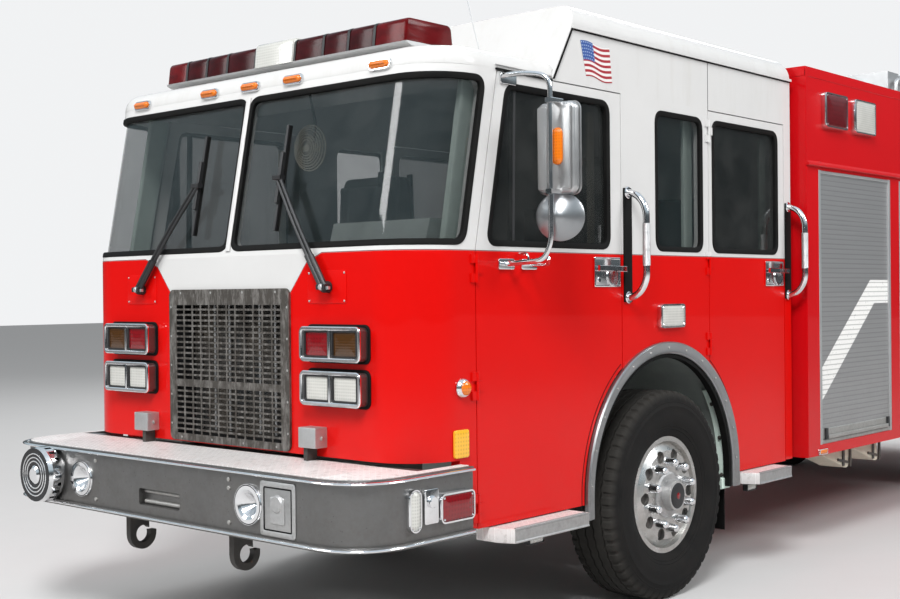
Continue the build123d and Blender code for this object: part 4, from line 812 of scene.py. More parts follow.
def bolts(spots, axis, radius, high):
    """Domed hexagon bolt heads at (x, distance back, z) spots on one face."""
    head = spun([(0.0, high * 1.15), (radius * 0.55, high * 1.1), (radius * 0.95, high * 0.8),
                 (radius, high * 0.5), (radius, 0.0), (0.0, 0.0)], 6)
    return [fixed(head, axis, *spot) for spot in spots]


def ring(width, height, radius, border, thick):
    """Raised frame round a rounded rectangle in the local XY plane."""
    flat = rounded(width - border, height - border, max(radius - border / 2, 0.002))
    path = np.column_stack([flat, np.zeros(len(flat))])
    half = border / 2
    section = [(-half, 0.0), (half, 0.0), (half, thick * 0.6), (half * 0.5, thick), (-half * 0.5, thick),
               (-half, thick * 0.6)]
    return carried(path, section, closed=True)


def layers(outline, middle, levels, axis):
    """A flat outline at each level along an axis, scaled about a middle, as [levels, points, 3]."""
    outline, middle = np.asarray(outline, float), np.asarray(middle, float)
    return np.array([np.insert(middle + (outline - middle) * scale, axis, level, axis=1)
                     for level, scale in levels])


def dome_profile(radius, base, rise, count):
    """Quarter ellipse from the edge of a disc up to its middle, as (radius, height)."""
    t = np.linspace(0, math.pi / 2, count)
    return np.column_stack([radius * np.cos(t), base + rise * np.sin(t)])


def lamp(name, seats, size, lens_name, body, rim="bright plating", radius=0.022, border=0.014, thick=0.024,
         dome=0.006, screws=True):
    """Lamps with a plated rim, a base, corner screws and a domed lens on their seats."""
    width, height = size
    rims, lenses = [], []
    for seat in seats:
        rims.append(fixed(ring(width, height, radius, border, thick), *seat))
        rims.append(fixed(pad(width - border, height - border, radius, thick * 0.55, 0.002), *seat))
        face = pad(width - 1.7 * border, height - 1.7 * border, radius * 0.8, thick * 0.95, 0.004, dome)
        lenses.append(fixed(face, *seat))
        if screws:
            head = spun([(0.0, 0.003), (0.004, 0.002), (0.005, 0.0), (0.0, 0.0)], 8)
            across, along = width / 2 - border * 1.5, height / 2 - border * 1.5
            corners = [(sx * across, sy * along, thick) for sx in (-1, 1) for sy in (-1, 1)]
            rims.extend(fixed(moved(head, shift(*corner)), *seat) for corner in corners)
    put(f"{name}_rim", rims, rim, body, "chrome")
    put(f"{name}_lens", lenses, lens_name, body)


# Operators


class FIRE_PG_settings(bpy.types.PropertyGroup):
    cab_red: bpy.props.FloatVectorProperty(
        name="Cab red", description="Paint below the belt line", subtype="COLOR", size=3,
        default=(0.62, 0.003, 0.002), min=0.0, max=1.0)
    cab_white: bpy.props.FloatVectorProperty(
        name="Cab white", description="Paint above the belt line", subtype="COLOR", size=3,
        default=(0.62, 0.62, 0.615), min=0.0, max=1.0)
    body_red: bpy.props.FloatVectorProperty(
        name="Body red", description="Paint of the equipment body", subtype="COLOR", size=3,
        default=(0.54, 0.003, 0.006), min=0.0, max=1.0)
    gasket_width: bpy.props.FloatProperty(
        name="Gasket width", description="Half the width of the rubber round each window", unit="LENGTH",
        default=0.013, min=0.004, max=0.05)
    slat_pitch: bpy.props.FloatProperty(
        name="Slat pitch", description="Height of one slat of a roll-up door", unit="LENGTH",
        default=0.0295, min=0.01, max=0.1)
    tread_rows: bpy.props.IntProperty(
        name="Tread blocks", description="Blocks round a tyre", default=56, min=20, max=120)


class FIRE_OT_finishes(bpy.types.Operator):
    """Gives every solid of the frame its own painted, plated or moulded finish."""

    bl_idname = "fire.finishes"
    bl_label = "Finishes"

    def execute(self, context):
        for name, nodes in NODE_FINISH.items():
            for node in nodes.split():
                slots = NODES[node].data.materials
                if not slots:
                    slots.append(None)
                for index in range(len(slots)):
                    slots[index] = finish(name)
        return {"FINISHED"}


class FIRE_OT_gaskets(bpy.types.Operator):
    """Rubber gaskets round the screen and side windows: a lipped profile carried along each outline."""

    bl_idname = "fire.gaskets"
    bl_label = "Window gaskets"

    def execute(self, context):
        half = settings().gasket_width
        lip = [(-half * 1.5, -0.016), (-half * 1.5, 0.0005), (-half, 0.0045), (half * 0.3, 0.0045),
               (half * 0.6, 0.001), (half * 0.6, 0.0), (-0.0005, 0.0), (-0.0005, -0.016)]
        low, high, top = 1.784, 2.500, 2.487
        end = CAB_SIDE - CORNER + CORNER * math.pi / 2 - CORNER / math.cos(RAKE) - 0.075
        reach = [end + gap - rake(z) for z, gap in ((low, 0.3788), (high, 0.522))]
        outline = loop([(0.013, low), (reach[0], low), (reach[1], high), (0.013, high)], 0.062)
        points, normal = skin(outline[:, 0], outline[:, 1])
        tangent = np.roll(points, -1, 0) - np.roll(points, 1, 0)
        if np.cross(tangent, normal)[0] @ (points[0] - points.mean(0)) < 0:
            points, normal = points[::-1], normal[::-1]
        put("screen_gaskets", both(carried(points, lip, closed=True, up=normal)), "black rubber", "cab")
        heights = np.linspace(low - 0.004, high + 0.004, 12)
        spine = np.column_stack([np.zeros(12), back(rake(heights) - 0.0045), heights])
        cover = [(-0.015, -0.004), (0.015, -0.004), (0.015, 0.002), (0.011, 0.004), (-0.011, 0.004),
                 (-0.015, 0.002)]
        put("screen_post_cover", carried(spine, cover, up=AHEAD), "cab white", "cab")
        windows = {
            "door_front": [(0.452, low), (1.374, low), (1.374, top), (0.452 + 0.2 * (top - low), top)],
            "cab": [(1.789, low), (2.240, low), (2.240, top), (1.789, top)],
            "door_crew": [(2.350, low), (3.084, low), (3.084, top), (2.350, top)],
        }
        for place, corners in windows.items():
            form = strip(on_side(loop(corners, 0.062), CAB_SIDE), lip)
            pair(f"{place}_window_gasket", form, "black rubber", place if place == "cab" else f"{place}_")
        channel = strip(on_side(loop(windows["door_front"], 0.05), CAB_SIDE),
                        oblong(-0.016, 0.0, -0.05, -0.024))
        divider = beam(CAB_SIDE - 0.032, (0.655, 0.672), (low, top), 0.02, 0.03, OUT)
        pair("window_channel", [channel, divider], "black plastic", "door_front_")
        return {"FINISHED"}


class FIRE_OT_headlamps(bpy.types.Operator):
    """Twin lamp units: plated bezels with a rubber seat, and fluted lenses of three colours."""

    bl_idname = "fire.headlamps"
    bl_label = "Headlamps"

    def execute(self, context):
        rims, seats, wells = [], [], []
        lenses = {"clear lens": [], "dark amber lens": [], "red lens": []}
        units = ((1.3635, 0.143, ("red lens", "dark amber lens")),
                 (1.1745, 0.141, ("clear lens", "clear lens")))
        for side in SIDES:
            across = side * 0.7385
            for z, height, names in units:
                seat = at("-y", across, -0.050, z)
                rims.append(moved(ring(0.375, height + 0.008, 0.026, 0.017, 0.010), seat))
                rims.append(moved(pad(0.013, height - 0.02, 0.004, 0.008, 0.002), seat))
                seats.append(fixed(ring(0.392, height + 0.024, 0.032, 0.016, 0.006), "-y", across, -0.001, z))
                for step, lens_name in zip((-side, side), names):
                    seat = at("-y", across + step * 0.0865, -0.0385, z)
                    lenses[lens_name].append(moved(pad(0.146, height - 0.034, 0.014, 0.006, 0.003, 0.004),
                                                   seat))
                    wells.append(moved(ring(0.157, height - 0.024, 0.016, 0.010, 0.014), seat))
        put("headlamp_rims", rims, "bright plating", "cab")
        put("headlamp_wells", wells, "black plastic", "cab")
        put("headlamp_seats", seats, "black rubber", "cab")
        for lens_name, forms in lenses.items():
            put("headlamp_" + lens_name.replace(" ", "_"), forms, lens_name, "cab")
        return {"FINISHED"}


class FIRE_OT_lamps(bpy.types.Operator):
    """Markers, warning lamps, tail lamps and reflectors: rims and domed lenses on rounded outlines."""

    bl_idname = "fire.lamps"
    bl_label = "Lamps"

    def execute(self, context):
        for side, axis, sign in SEATS:
            x, body_x, end = sign * (CAB_SIDE + 0.0005), sign * BODY_SIDE, sign * (BODY_SIDE - 0.0095)
            lamp(f"arch_lamp_{side}", [(axis, x, 1.908, 1.448)], (0.232, 0.128), "clear lens", "cab",
                 thick=0.026)
            high = [(axis, body_x, distance, 2.658) for distance in (3.665, 4.080, 8.250)]
            large = {"size": (0.306, 0.216), "body": "chassis", "thick": 0.034}
            lamp(f"body_warning_{side}", high[:1], lens_name="deep red lens", **large)
            lamp(f"body_scene_{side}", high[1:], lens_name="clear lens", **large)
            places = [(axis, sign * 1.165, distance, 0.468) for distance in (0.779, 2.755)]
            lamp(f"step_lamps_{side}", places, (0.11, 0.045), "clear lens", "cab", "black plastic", 0.012,
                 0.008,
                 0.03, 0.003, False)
            lamp(f"skirt_marker_{side}", [(axis, body_x, 3.49, 0.60)], (0.104, 0.036), "amber lens",
                 "chassis",
                 "bright plating", 0.010, 0.007, 0.014, 0.003, False)
            lamp(f"bumper_marker_{side}", [(axis, end, -0.1, 0.718)], (0.074, 0.176), "clear lens", "chassis",
                 radius=0.036, border=0.011, thick=0.022, dome=0.008)
            lamp(f"bumper_warning_{side}", [(axis, end, 0.150, 0.706)], (0.214, 0.128), "red lens", "chassis",
                 radius=0.026, thick=0.026)
        x = CAB_SIDE + 0.0005
        marker = at("+x", x, 0.279, 1.177)
        base = spun([(0.0, 0.0), (0.040, 0.0), (0.042, 0.006), (0.036, 0.020), (0.030, 0.024), (0.0, 0.024)],
                    40)
        pair("side_marker_base", moved(base, marker), "bright plating", "cab")
        pair("side_marker_lens", moved(spun(dome_profile(0.031, 0.022, 0.014, 10), 36), marker), "amber lens",
             "cab")
        reflector = pad(0.092, 0.118, 0.012, 0.010, 0.003, 0.002)
        # Painted light: the reflector's finish glows faintly, though no lamp stands behind it.
        pair("side_reflector", fixed(reflector, "+x", x, 0.2665, 0.944), "yellow lens", "cab")
        knob = spun([(0.0, 0.034), (0.02, 0.034), (0.024, 0.030), (0.026, 0.018), (0.0, 0.018)], 24)
        outlet = join([pad(0.082, 0.140, 0.008, 0.020, 0.003), moved(knob, shift(0, 0.02, 0))])
        outlet = fixed(outlet, "+x", BODY_SIDE - 0.0095, -0.005, 0.725)
        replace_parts(pair("bumper_outlet", outlet, "bright plating", "chassis")["left"], "bumper_lamps")
        bases, lenses = [], []
        for x in (-0.855, -0.302, 0.004, 0.306, 0.862):
            seat = at("-y", x, 0.1505, 2.556, -RAKE * 0.5)
            bases.append(moved(ring(0.132, 0.048, 0.022, 0.010, 0.014), seat))
            bases.append(moved(pad(0.126, 0.042, 0.019, 0.010, 0.002), seat))
            lenses.append(moved(pad(0.112, 0.032, 0.015, 0.026, 0.010, 0.008), seat))
        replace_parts(put("roof_marker_bases", bases, "bright plating", "cab"), "cab_lamps")
        put("roof_marker_lenses", lenses, "amber lens", "cab")
        tails = {1.150: "red lens", 1.330: "amber lens", 1.510: "clear lens", 2.600: "red lens"}
        for height, lens_name in tails.items():
            places = [("+y", side * 0.960, TAIL, height) for side in SIDES]
            lamp(f"tail_lamps_{round(height * 1000)}", places, (0.226, 0.146), lens_name, "chassis",
                 thick=0.032)
        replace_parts(bpy.data.objects["tail_lamps_1150_rim"], "body_lamps")
        return {"FINISHED"}


class FIRE_OT_light_bar(bpy.types.Operator):
    """Light bar: a tray under lens blocks whose section is a rounded trapezium carried along X."""

    bl_idname = "fire.light_bar"
    bl_label = "Light bar"

    def execute(self, context):
        low, high, depth, middle = 2.664, 2.790, 0.165, 0.465
        centre = (back(middle), 2.680)

        def block(x0, x1, grow=0.0):
            """Rounded trapezium that shrinks towards both ends of its length."""
            half = depth + grow
            outline = [(0.004 - half, centre[1]), (0.018 - half, high + grow), (half - 0.018, high + grow),
                       (half - 0.004, centre[1])]
            levels = [(x0, 0.93), (x0 + 0.004, 0.985), (x0 + 0.012, 1.0), (x1 - 0.012, 1.0),
                      (x1 - 0.004, 0.985), (x1, 0.93)]
            section = smooth_path(outline, 0.028, 7) + (centre[0], 0)
            return grid(layers(section, centre, levels, 0), around=True)

        edges = (-0.864, -0.700, -0.536, -0.372, -0.154, 0.131, 0.330, 0.497, 0.664, 0.864)
        tones = "ends red red red clear red red red ends".split()
        blocks = {"red": [], "ends": [], "clear": []}
        for tone, x0, x1 in zip(tones, edges, edges[1:]):
            blocks[tone].append(block(x0 + 0.004, x1 - 0.004, 0.010 if tone == "clear" else 0.0))
        for tone, lens_name in (("red", "dome lens"), ("ends", "dome ends"), ("clear", "clear lens")):
            put(f"light_bar_{tone}", blocks[tone], lens_name, "cab")
        dividers = [block(x - 0.004, x + 0.004, 0.001) for x in edges[1:-1]]
        put("light_bar_dividers", dividers, "black plastic", "cab")
        bowl = spun([(0.008, 0.0), (0.03, 0.012), (0.048, 0.04), (0.05, 0.044), (0.046, 0.042),
                     (0.026, 0.008),
                     (0.008, -0.004)], 20, caps=False)
        bowls = [fixed(bowl, "-y", x, middle + 0.02, low + 0.075) for x in np.linspace(-0.78, 0.78, 9)]
        put("light_bar_reflectors", bowls, "black plastic", "cab", "chrome")
        section = [(0.03 - depth, low), (depth - 0.03, low), (depth - 0.004, low + 0.010),
                   (depth - 0.002, low + 0.019), (0.002 - depth, low + 0.019), (0.004 - depth, low + 0.010)]
        levels = [(-0.870, (0.96, 1)), (-0.864, 1), (0.864, 1), (0.870, (0.96, 1))]
        tray = [grid(layers(np.array(section) + (centre[0], 0), centre, levels, 0), around=True)]
        for x in (-0.62, 0.62):
            for foot in (x - 0.062, x + 0.062):
                tray.append(beam(foot, (middle - 0.085, middle + 0.085), 2.650, 0.018, 0.036))
            tray.append(beam((x - 0.075, x + 0.075), middle, 2.640, 0.15, 0.012))
        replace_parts(put("light_bar_tray", tray, "satin aluminium", "cab"), "light_bar")
        return {"FINISHED"}


class FIRE_OT_front(bpy.types.Operator):
    """Grille bolts, radiator fins, pivot caps and the fittings of the bumper's face."""

    bl_idname = "fire.front"
    bl_label = "Grille and bumper"

    def grille(self):
        places = [(x, -0.0082, z) for x in (-0.345, -0.115, 0.115, 0.345) for z in (0.897, 1.588)]
        places += [(side * 0.422, -0.0082, z) for side in SIDES for z in np.linspace(0.96, 1.52, 5)]
        put("grille_bolts", bolts(places, "-y", 0.008, 0.004), "brushed stainless", "cab")
        plate = fixed(ring(0.868, 0.719, 0.030, 0.020, 0.003), "-y", 0, -0.0078, 1.2425)
        put("grille_frame", plate, "grille plate", "cab", "stainless")
        x, z = np.meshgrid(np.linspace(-0.39, 0.39, 100), np.linspace(0.80, 1.55, 330))
        depth = back(0.1085) + 0.004 * np.sin(x * TAU / 0.0315) * np.sign(np.sin(z * TAU / 0.009))
        put("radiator_fins", grid(np.stack([x, depth, z], -1)), "cast metal", "cab", "cast_iron",
            smooth=False)
        liner = [beam(side * 0.3945, 0.055, (0.906, 1.579), 0.11, 0.003, OUT) for side in SIDES]
        liner += [beam((-0.395, 0.395), 0.055, z, 0.11, 0.003) for z in (0.9065, 1.5785)]
        put("intake_liner", liner, "black plastic", "cab")
        bars = [beam(x, 0.098, (0.93, 1.55), 0.012, 0.010, (0, 1, 0)) for x in np.linspace(-0.33, 0.33, 7)]
        put("radiator_bars", bars, "satin aluminium", "cab")
        plate = pad(0.242, 0.142, 0.008, 0.0025, 0.001)
        plates = [fixed(plate, "-y", side * 0.672, 0.0, 1.607) for side in SIDES]
        put("wiper_plates", plates, "cab two-tone", "cab", "two_tone_paint")
        spots = [(0.672 + dx, -0.0025, 1.607 + dz) for dx in (-0.11, 0.11) for dz in (-0.06, 0.06)]
        put("wiper_plate_bolts", both(bolts(spots, "-y", 0.005, 0.003)), "brushed stainless", "cab")
        covers = [fixed(pad(0.108, 0.088, 0.004, 0.070, 0.003), "-y", side * 0.603 + 0.006, -0.0005, 0.960)
                  for side in SIDES]
        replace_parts(put("pivot_covers", covers, "satin aluminium", "cab"), "tilt_pivots")
        caps = [(side * 0.603 + 0.061, -0.030, 0.957) for side in SIDES]
        put("pivot_bolts", bolts(caps, "+x", 0.010, 0.006), "brushed stainless", "cab")

    def bumper(self):
        def wrapped(half, nose, bend, count):
            """Line round the bumper as seen from above."""
            path = smooth_path([(half, 0.262), (half, nose), (-half, nose), (-half, 0.262)], bend, count)
            return path + (0, CAB_FRONT)

        deck = wrapped(1.240, -0.378, 0.245, 14)
        rows = layers(deck, (0.0, CAB_FRONT), ((0.8555, 1.0), (0.8585, 1.0), (0.8592, 0.998)), 2)
        inner = np.column_stack([np.clip(deck[:, 0], -1.196, 1.196), np.maximum(deck[:, 1], back(-0.004))])
        inner = np.insert(inner, 2, 0.8592, axis=1)
        put("bumper_deck", grid(np.array([*rows, inner])), "tread plate", "chassis", weld=0)
        edge = wrapped(1.266, -0.401, 0.258, 16)
        edges = [carried(np.insert(edge, 2, z, axis=1), circle(0.0125, 14, 0.55)) for z in (0.8445, 0.5865)]
        put("bumper_edges", edges, "bright plating", "chassis")
        face = BUMPER_FACE
        corners = ((-0.50, 0.808), (-0.50, 0.628), (0.48, 0.808), (0.48, 0.772), (0.48, 0.628))
        put("bumper_bolts", bolts([(x, face, z) for x, z in corners], "-y", 0.010, 0.006),
            "brushed stainless", "chassis")
        seat = at("-y", 0.790, face, 0.712)
        put("bumper_socket_dish", moved(pad(0.190, 0.196, 0.010, 0.003, 0.001), seat), "bright moulding",
            "chassis")
        # Painted shade: a thin black ring round the dish stands in for the shadow line of a recess.
        put("bumper_socket_seal", moved(ring(0.172, 0.178, 0.008, 0.006, 0.006), seat), "black rubber",
            "chassis")
        plug = spun([(0.0, 0.012), (0.03, 0.012), (0.036, 0.006), (0.038, 0.0), (0.0, 0.0)], 28)
        socket = [moved(ring(0.214, 0.222, 0.014, 0.022, 0.006), seat),
                  fixed(pad(0.086, 0.112, 0.010, 0.024, 0.006), "-y", 0.790, face + 0.014, 0.708),
                  fixed(plug, "-y", 0.792, face - 0.004, 0.735)]
        put("bumper_socket", socket, "satin aluminium", "chassis", "chrome")
        roller = spun([(0.0, 0.0), (0.010, 0.0), (0.010, 0.27), (0.0, 0.27)], 16)
        rollers = [fixed(roller, "+x", -0.145, face + 0.03, z) for z in (0.652, 0.700)]
        put("bumper_slot_rollers", rollers, "brushed stainless", "chassis")
        horn = spun([(0.076, 0.0), (0.088, 0.0), (0.088, 0.006), (0.084, 0.012), (0.078, 0.012),
                     (0.076, 0.006),
                     (0.076, 0.0)], 48, caps=False)
        put("horn_rings", both(fixed(horn, "-y", 0.61, face, 0.716)), "bright plating", "chassis")
        seat = at("-y", -0.878, -0.483, 0.720)
        disc = spun([(0.046, 0.0), (0.128, 0.0), (0.128, 0.002), (0.046, 0.002), (0.046, 0.0)], 48,
                    caps=False)
        put("siren_mesh", moved(disc, seat), "black plastic", "chassis")
        siren = [spun([(0.0, 0.010), (0.032, 0.010), (0.040, 0.004), (0.046, 0.0), (0.0, 0.0)], 32)]
        siren += [band(radius, radius + 0.006, -0.012, 0.004, 48) for radius in (0.062, 0.080, 0.098)]
        put("siren_grille", moved(join(siren), seat), "bright plating", "chassis")

    def execute(self, context):
        self.grille()
        self.bumper()
        return {"FINISHED"}


class FIRE_OT_wipers(bpy.types.Operator):
    """Wipers: twin round arms from a pivot block, a pressed yoke and a rubber blade on the glass."""

    bl_idname = "fire.wipers"
    bl_label = "Wipers"

    def execute(self, context):
        metal, blades, caps = [], [], []
        boss = spun([(0.0, 0.040), (0.018, 0.038), (0.024, 0.030), (0.026, 0.0), (0.0, 0.0)], 24)
        button = spun([(0.0, 0.052), (0.010, 0.051), (0.014, 0.046), (0.014, 0.036), (0.0, 0.036)], 20)
        heights = np.linspace(1.86, 2.34, 9)
        for x, reach in ((0.672, -0.342), (-0.672, 0.412)):
            root = np.array([x, back(-0.034), 1.607])
            tip = np.array([x + reach, back(rake(2.10) - 0.050), 2.10])
            for step in (0.0, 0.026):
                start, end = root + (step, 0, 0), tip + (step, 0, 0)
                metal.append(rod([start, (start + end) / 2 + (0, -0.012, 0), end], 0.0085, 0.25, 10))
                metal.append(rod([start, start * 0.72 + end * 0.28 + (0, -0.008, 0)], 0.0125, count=10))
            metal.append(fixed(boss, "-y", x + 0.013, -0.006, 1.607))
            metal.append(bar(root + (-0.012, -0.004, 0), root + (0.040, -0.004, 0), 0.034, 0.024))
            metal.append(bar(tip + (-0.012, 0, 0), tip + (0.04, 0, 0), 0.030, 0.022))
            centre = tip[0] + 0.013
            spine = np.column_stack([np.full(9, centre), back(rake(heights) - 0.030), heights])
            metal.append(carried(spine, oblong(-0.007, 0.007, -0.004, 0.004), up=AHEAD))
            metal.append(beam(centre, rake((1.985, 2.215)) - 0.042, (1.985, 2.215), 0.018, 0.014, AHEAD))
            caps.append(fixed(button, "-y", x + 0.013, -0.006, 1.607))
            caps.append(bar(root + (-0.020, -0.006, -0.004), root + (0.056, -0.006, -0.004), 0.012, 0.014))
            blade = [(-0.005, -0.010), (0.005, -0.010), (0.0015, 0.008), (-0.0015, 0.008)]
            blades.append(carried(spine + (0, 0.012, 0), blade, up=AHEAD))
        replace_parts(put("wiper_arms", metal, "black plastic", "cab"), "wipers")
        put("wiper_blades", blades, "black rubber", "cab")
        put("wiper_caps", caps, "satin aluminium", "cab")
        return {"FINISHED"}


class FIRE_OT_handles(bpy.types.Operator):
    """Door handles: a pressed plate with a dished recess, a plated lever and its hinge pin."""

    bl_idname = "fire.handles"
    bl_label = "Door handles"

    def execute(self, context):
        x = CAB_SIDE
        dish = spun([(0.0, 0.002), (0.030, 0.002), (0.046, 0.005), (0.050, 0.004), (0.050, 0.0), (0.0, 0.0)],
                    36)
        lock = spun([(0.0, 0.006), (0.010, 0.006), (0.013, 0.003), (0.013, 0.0), (0.0, 0.0)], 20)
        for place, middle in (("door_front", 1.3465), ("door_crew", 3.0365)):
            seat = at("+x", x + 0.005, middle, 1.669)
            plate = [moved(ring(0.219, 0.142, 0.008, 0.010, 0.003), seat),
                     moved(pad(0.206, 0.130, 0.006, 0.001, 0.0005), seat),
                     fixed(dish, "+x", x + 0.0065, middle + 0.045, 1.650)]
            lever = [beam((x + 0.026, x + 0.034), (middle - 0.10, middle + 0.12), (1.688, 1.684), 0.012,
                          0.026)]
            lever += [beam((x + 0.006, x + 0.03), middle + step, 1.686, 0.02, 0.02) for step in (-0.06, 0.06)]
            lever.append(fixed(lock, "+x", x + 0.006, middle - 0.075, 1.630))
            pair(f"{place}_handle_plate", plate, "bright plating", f"{place}_", "stainless")
            pair(f"{place}_handle_lever", lever, "bright plating", f"{place}_")
        return {"FINISHED"}


class FIRE_OT_rails(bpy.types.Operator):
    """Grab rails: black backing strips, bent plated tubes with a ribbed sleeve and round feet."""

    bl_idname = "fire.rails"
    bl_label = "Grab rails"

    def execute(self, context):
        tubes, strips, sleeves = [], [], []
        x0, x1, low, high = CAB_SIDE + 0.006, CAB_SIDE + 0.112, 1.545, 2.060
        t = np.linspace(0, math.pi / 2, 17)
        heights = np.linspace(1.70, 1.905, 140)
        sleeve = spun(np.column_stack([0.0188 + 0.0008 * np.sin(heights * TAU / 0.006), heights]), 20)
        foot = spun([(0.0, 0.008), (0.026, 0.008), (0.030, 0.004), (0.030, 0.0), (0.0, 0.0)], 24)
        for place in (1.525, 3.206):
            bend = (x0 + (x1 - x0) * np.sin(t), np.full(17, back(place)), high - 0.125 + 0.125 * np.cos(t))
            top = np.column_stack(bend)
            lower = top[::-1] * (1, 1, -1) + (0, 0, low + high)
            tubes.append(carried(np.vstack([top, lower]), circle(0.0170, 16), up=(0, 1, 0)))
            tubes += [fixed(foot, "+x", x0 - 0.001, place, z) for z in (low, high)]
            sleeves.append(moved(sleeve, shift(x1, back(place), 0)))
            strips.append(fixed(pad(0.068, 0.56, 0.006, 0.0075, 0.002), "+x", CAB_SIDE, place, 1.8025))
        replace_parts(put("grab_tubes", both(tubes), "bright plating", "cab"), "grab_rails")
        put("grab_sleeves", both(sleeves), "satin aluminium", "cab")
        put("grab_strips", both(strips), "black rubber", "cab")
        return {"FINISHED"}


class FIRE_OT_mirrors(bpy.types.Operator):
    """Door mirrors: bent plated tubes, a pressed head with an amber lamp, a round mirror with a
    conical back, and their glasses."""

    bl_idname = "fire.mirrors"
    bl_label = "Door mirrors"

    def execute(self, context):
        x = 1.420
        frame_tube = placed([(CAB_SIDE + 0.008, 0.560, 2.520), (1.31, 0.575, 2.520), (x, 0.606, 2.500),
                             (x, 0.606, 1.790),
                             (x - 0.03, 0.594, 1.712), (CAB_SIDE + 0.010, 0.575, 1.700)])
        brace = placed([(CAB_SIDE + 0.010, 0.735, 1.700), (1.33, 0.70, 1.690), (x - 0.022, 0.612, 1.722)])
        hook = placed([(CAB_SIDE + 0.01, 0.66, 1.745), (CAB_SIDE + 0.06, 0.66, 1.745),
                       (CAB_SIDE + 0.06, 0.66, 1.700)])
        tubes = [rod(frame_tube, 0.0115, 0.09, 14, (0, 1, 0.2)), rod(brace, 0.009, 0.06),
                 rod(hook, 0.006, 0.02, 10, (0, 1, 0))]
        tubes += [fixed(pad(0.110, 0.048, 0.010, 0.010, 0.003), "+x", CAB_SIDE, place, z)
                  for place, z in ((0.575, 1.700), (0.735, 1.700), (0.600, 2.508))]
        tubes += [beam(x, (0.590, 0.681), z, 0.032, 0.022) for z in (2.395, 2.005)]
        shell = [pad(0.200, 0.396, 0.034, 0.030, 0.014, 0.012, 8, 6)]
        shell += [moved(pad(0.05, 0.36, 0.010, 0.006, 0.002), shift(step, 0, 0.038))
                  for step in (-0.062, 0.062)]
        head = [fixed(join(shell), "-y", x - 0.012, 0.687, 2.195),
                fixed(ring(0.208, 0.404, 0.038, 0.012, 0.014), "+y", x - 0.012, 0.696, 2.195)]
        cone = spun([(0.0, 0.046), (0.018, 0.045), (0.060, 0.024), (0.100, 0.008), (0.106, 0.0),
                     (0.102, -0.006),
                     (0.0, -0.006)], 44)
        cone = moved(cone, shift(x, back(0.672), 1.900) @ turned(32, "Z") @ facing("-y"))
        bulge = spun(dome_profile(0.100, 0.006, 0.014, 8), 40)
        glass = [fixed(pad(0.190, 0.386, 0.030, 0.006, 0.002), "+y", x - 0.012, 0.694, 2.195),
                 moved(bulge, shift(x, back(0.674), 1.900) @ turned(32, "Z") @ facing("+y"))]
        amber = fixed(pad(0.056, 0.160, 0.027, 0.014, 0.006, 0.008), "-y", x + 0.010, 0.650, 2.20)
        for side, piece in pair("mirror_tubes", tubes, "bright plating", "door_front_").items():
            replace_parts(piece, f"mirror_{side}")
        pair("mirror_head", head, "bright moulding", "door_front_", "chrome")
        pair("mirror_cone", cone, "arch bright", "door_front_", "chrome")
        pair("mirror_glass", glass, "mirror glass", "door_front_", "glass")
        pair("mirror_lamp", amber, "amber lens", "door_front_")
        return {"FINISHED"}


def arc(place, height, radius, t):
    """Points of a circle seen from the side, as (distance back, height)."""
    return np.column_stack([place + radius * np.cos(t), height + radius * np.sin(t)])


def arch_path(place, height, radius, low):
    """Half circle over a wheel with straight legs down to a height."""
    over = arc(place, height, radius, np.linspace(math.pi, 0, 64))
    return np.vstack([[place - radius, low], over, [place + radius, low]])


class FIRE_OT_arches(bpy.types.Operator):
    """Wheel arch mouldings: a rolled bright section carried round each arch, with rubber inside and screws."""

    bl_idname = "fire.arches"
    bl_label = "Wheel arches"

    def execute(self, context):
        section = [(-0.030, 0.0), (-0.030, 0.016), (-0.024, 0.024), (-0.012, 0.021), (0.006, 0.017),
                   (0.022, 0.017),
                   (0.030, 0.010), (0.030, 0.0)]
        cab, body = (FRONT_AXLE, ARCH_HEIGHT), (REAR_AXLE, AXLE_HEIGHT)
        arches = (("cab", CAB_SIDE, cab, 0.685, 0.500), ("chassis", BODY_SIDE, body, 0.6475, 0.578))
        for name, x, middle, radius, low in arches:
            moulding = carried(on_side(arch_path(*middle, radius, low), x), section, up=OUT)
            piece = put(f"{name}_arch_moulding", both(moulding), "arch bright", name)
            if name == "cab":
                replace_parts(piece, "arch_trims")
            inner = on_side(arch_path(*middle, radius - 0.040, low), x - 0.006)
            lip = carried(inner, oblong(-0.012, 0.012, -0.03, 0.008), up=OUT)
            put(f"{name}_arch_rubber", both(lip), "black rubber", name)
            spots = arc(*middle, radius, np.linspace(0.08, math.pi - 0.08, 13))
            screws = bolts([(x + 0.019, *spot) for spot in spots], "+x", 0.006, 0.004)
            put(f"{name}_arch_screws", both(screws), "brushed stainless", name)
        t = np.radians(np.linspace(40, -7, 24))
        strap = carried(on_side(arc(*cab, 0.668, t), 1.128), oblong(-0.028, 0.028, -0.002, 0.002),
                        up=np.column_stack([np.zeros(24), np.cos(t), np.sin(t)]))
        bracket = beam(1.150, (2.470, 2.560), 0.515, 0.030, 0.060)
        # Painted light: the strap is greenish-grey metal, but it takes the paler window post finish so that it
        # reads light where it stands in shade.
        put("arch_strap", both([strap, bracket]), "window post", "cab")
        for place, start, end, sign in (("door_front", 123.4, 180.0, -1), ("door_crew", 53.8, 0.0, 1)):
            line = arc(*cab, 0.742, np.radians(np.linspace(start, end, 40)))
            line = np.vstack([line, [FRONT_AXLE + sign * 0.742, 0.530]])
            seam = carried(on_side(line, CAB_SIDE), oblong(-0.0022, 0.0022, -0.0006, 0.0009), up=OUT)
            pair(f"{place}_seam", seam, "black rubber", f"{place}_")
        head = spun([(0.0, 0.010), (0.008, 0.009), (0.012, 0.0), (0.0, 0.0)], 16)
        heads = []
        for degrees in (32, 14, -4):
            (place, z), = arc(*cab, 0.665, np.radians([degrees]))
            heads.append(moved(head, shift(1.128, back(place), z) @ turned(degrees + 90, "X")))
        put("arch_strap_bolts", both(heads), "chassis black", "cab")
        return {"FINISHED"}


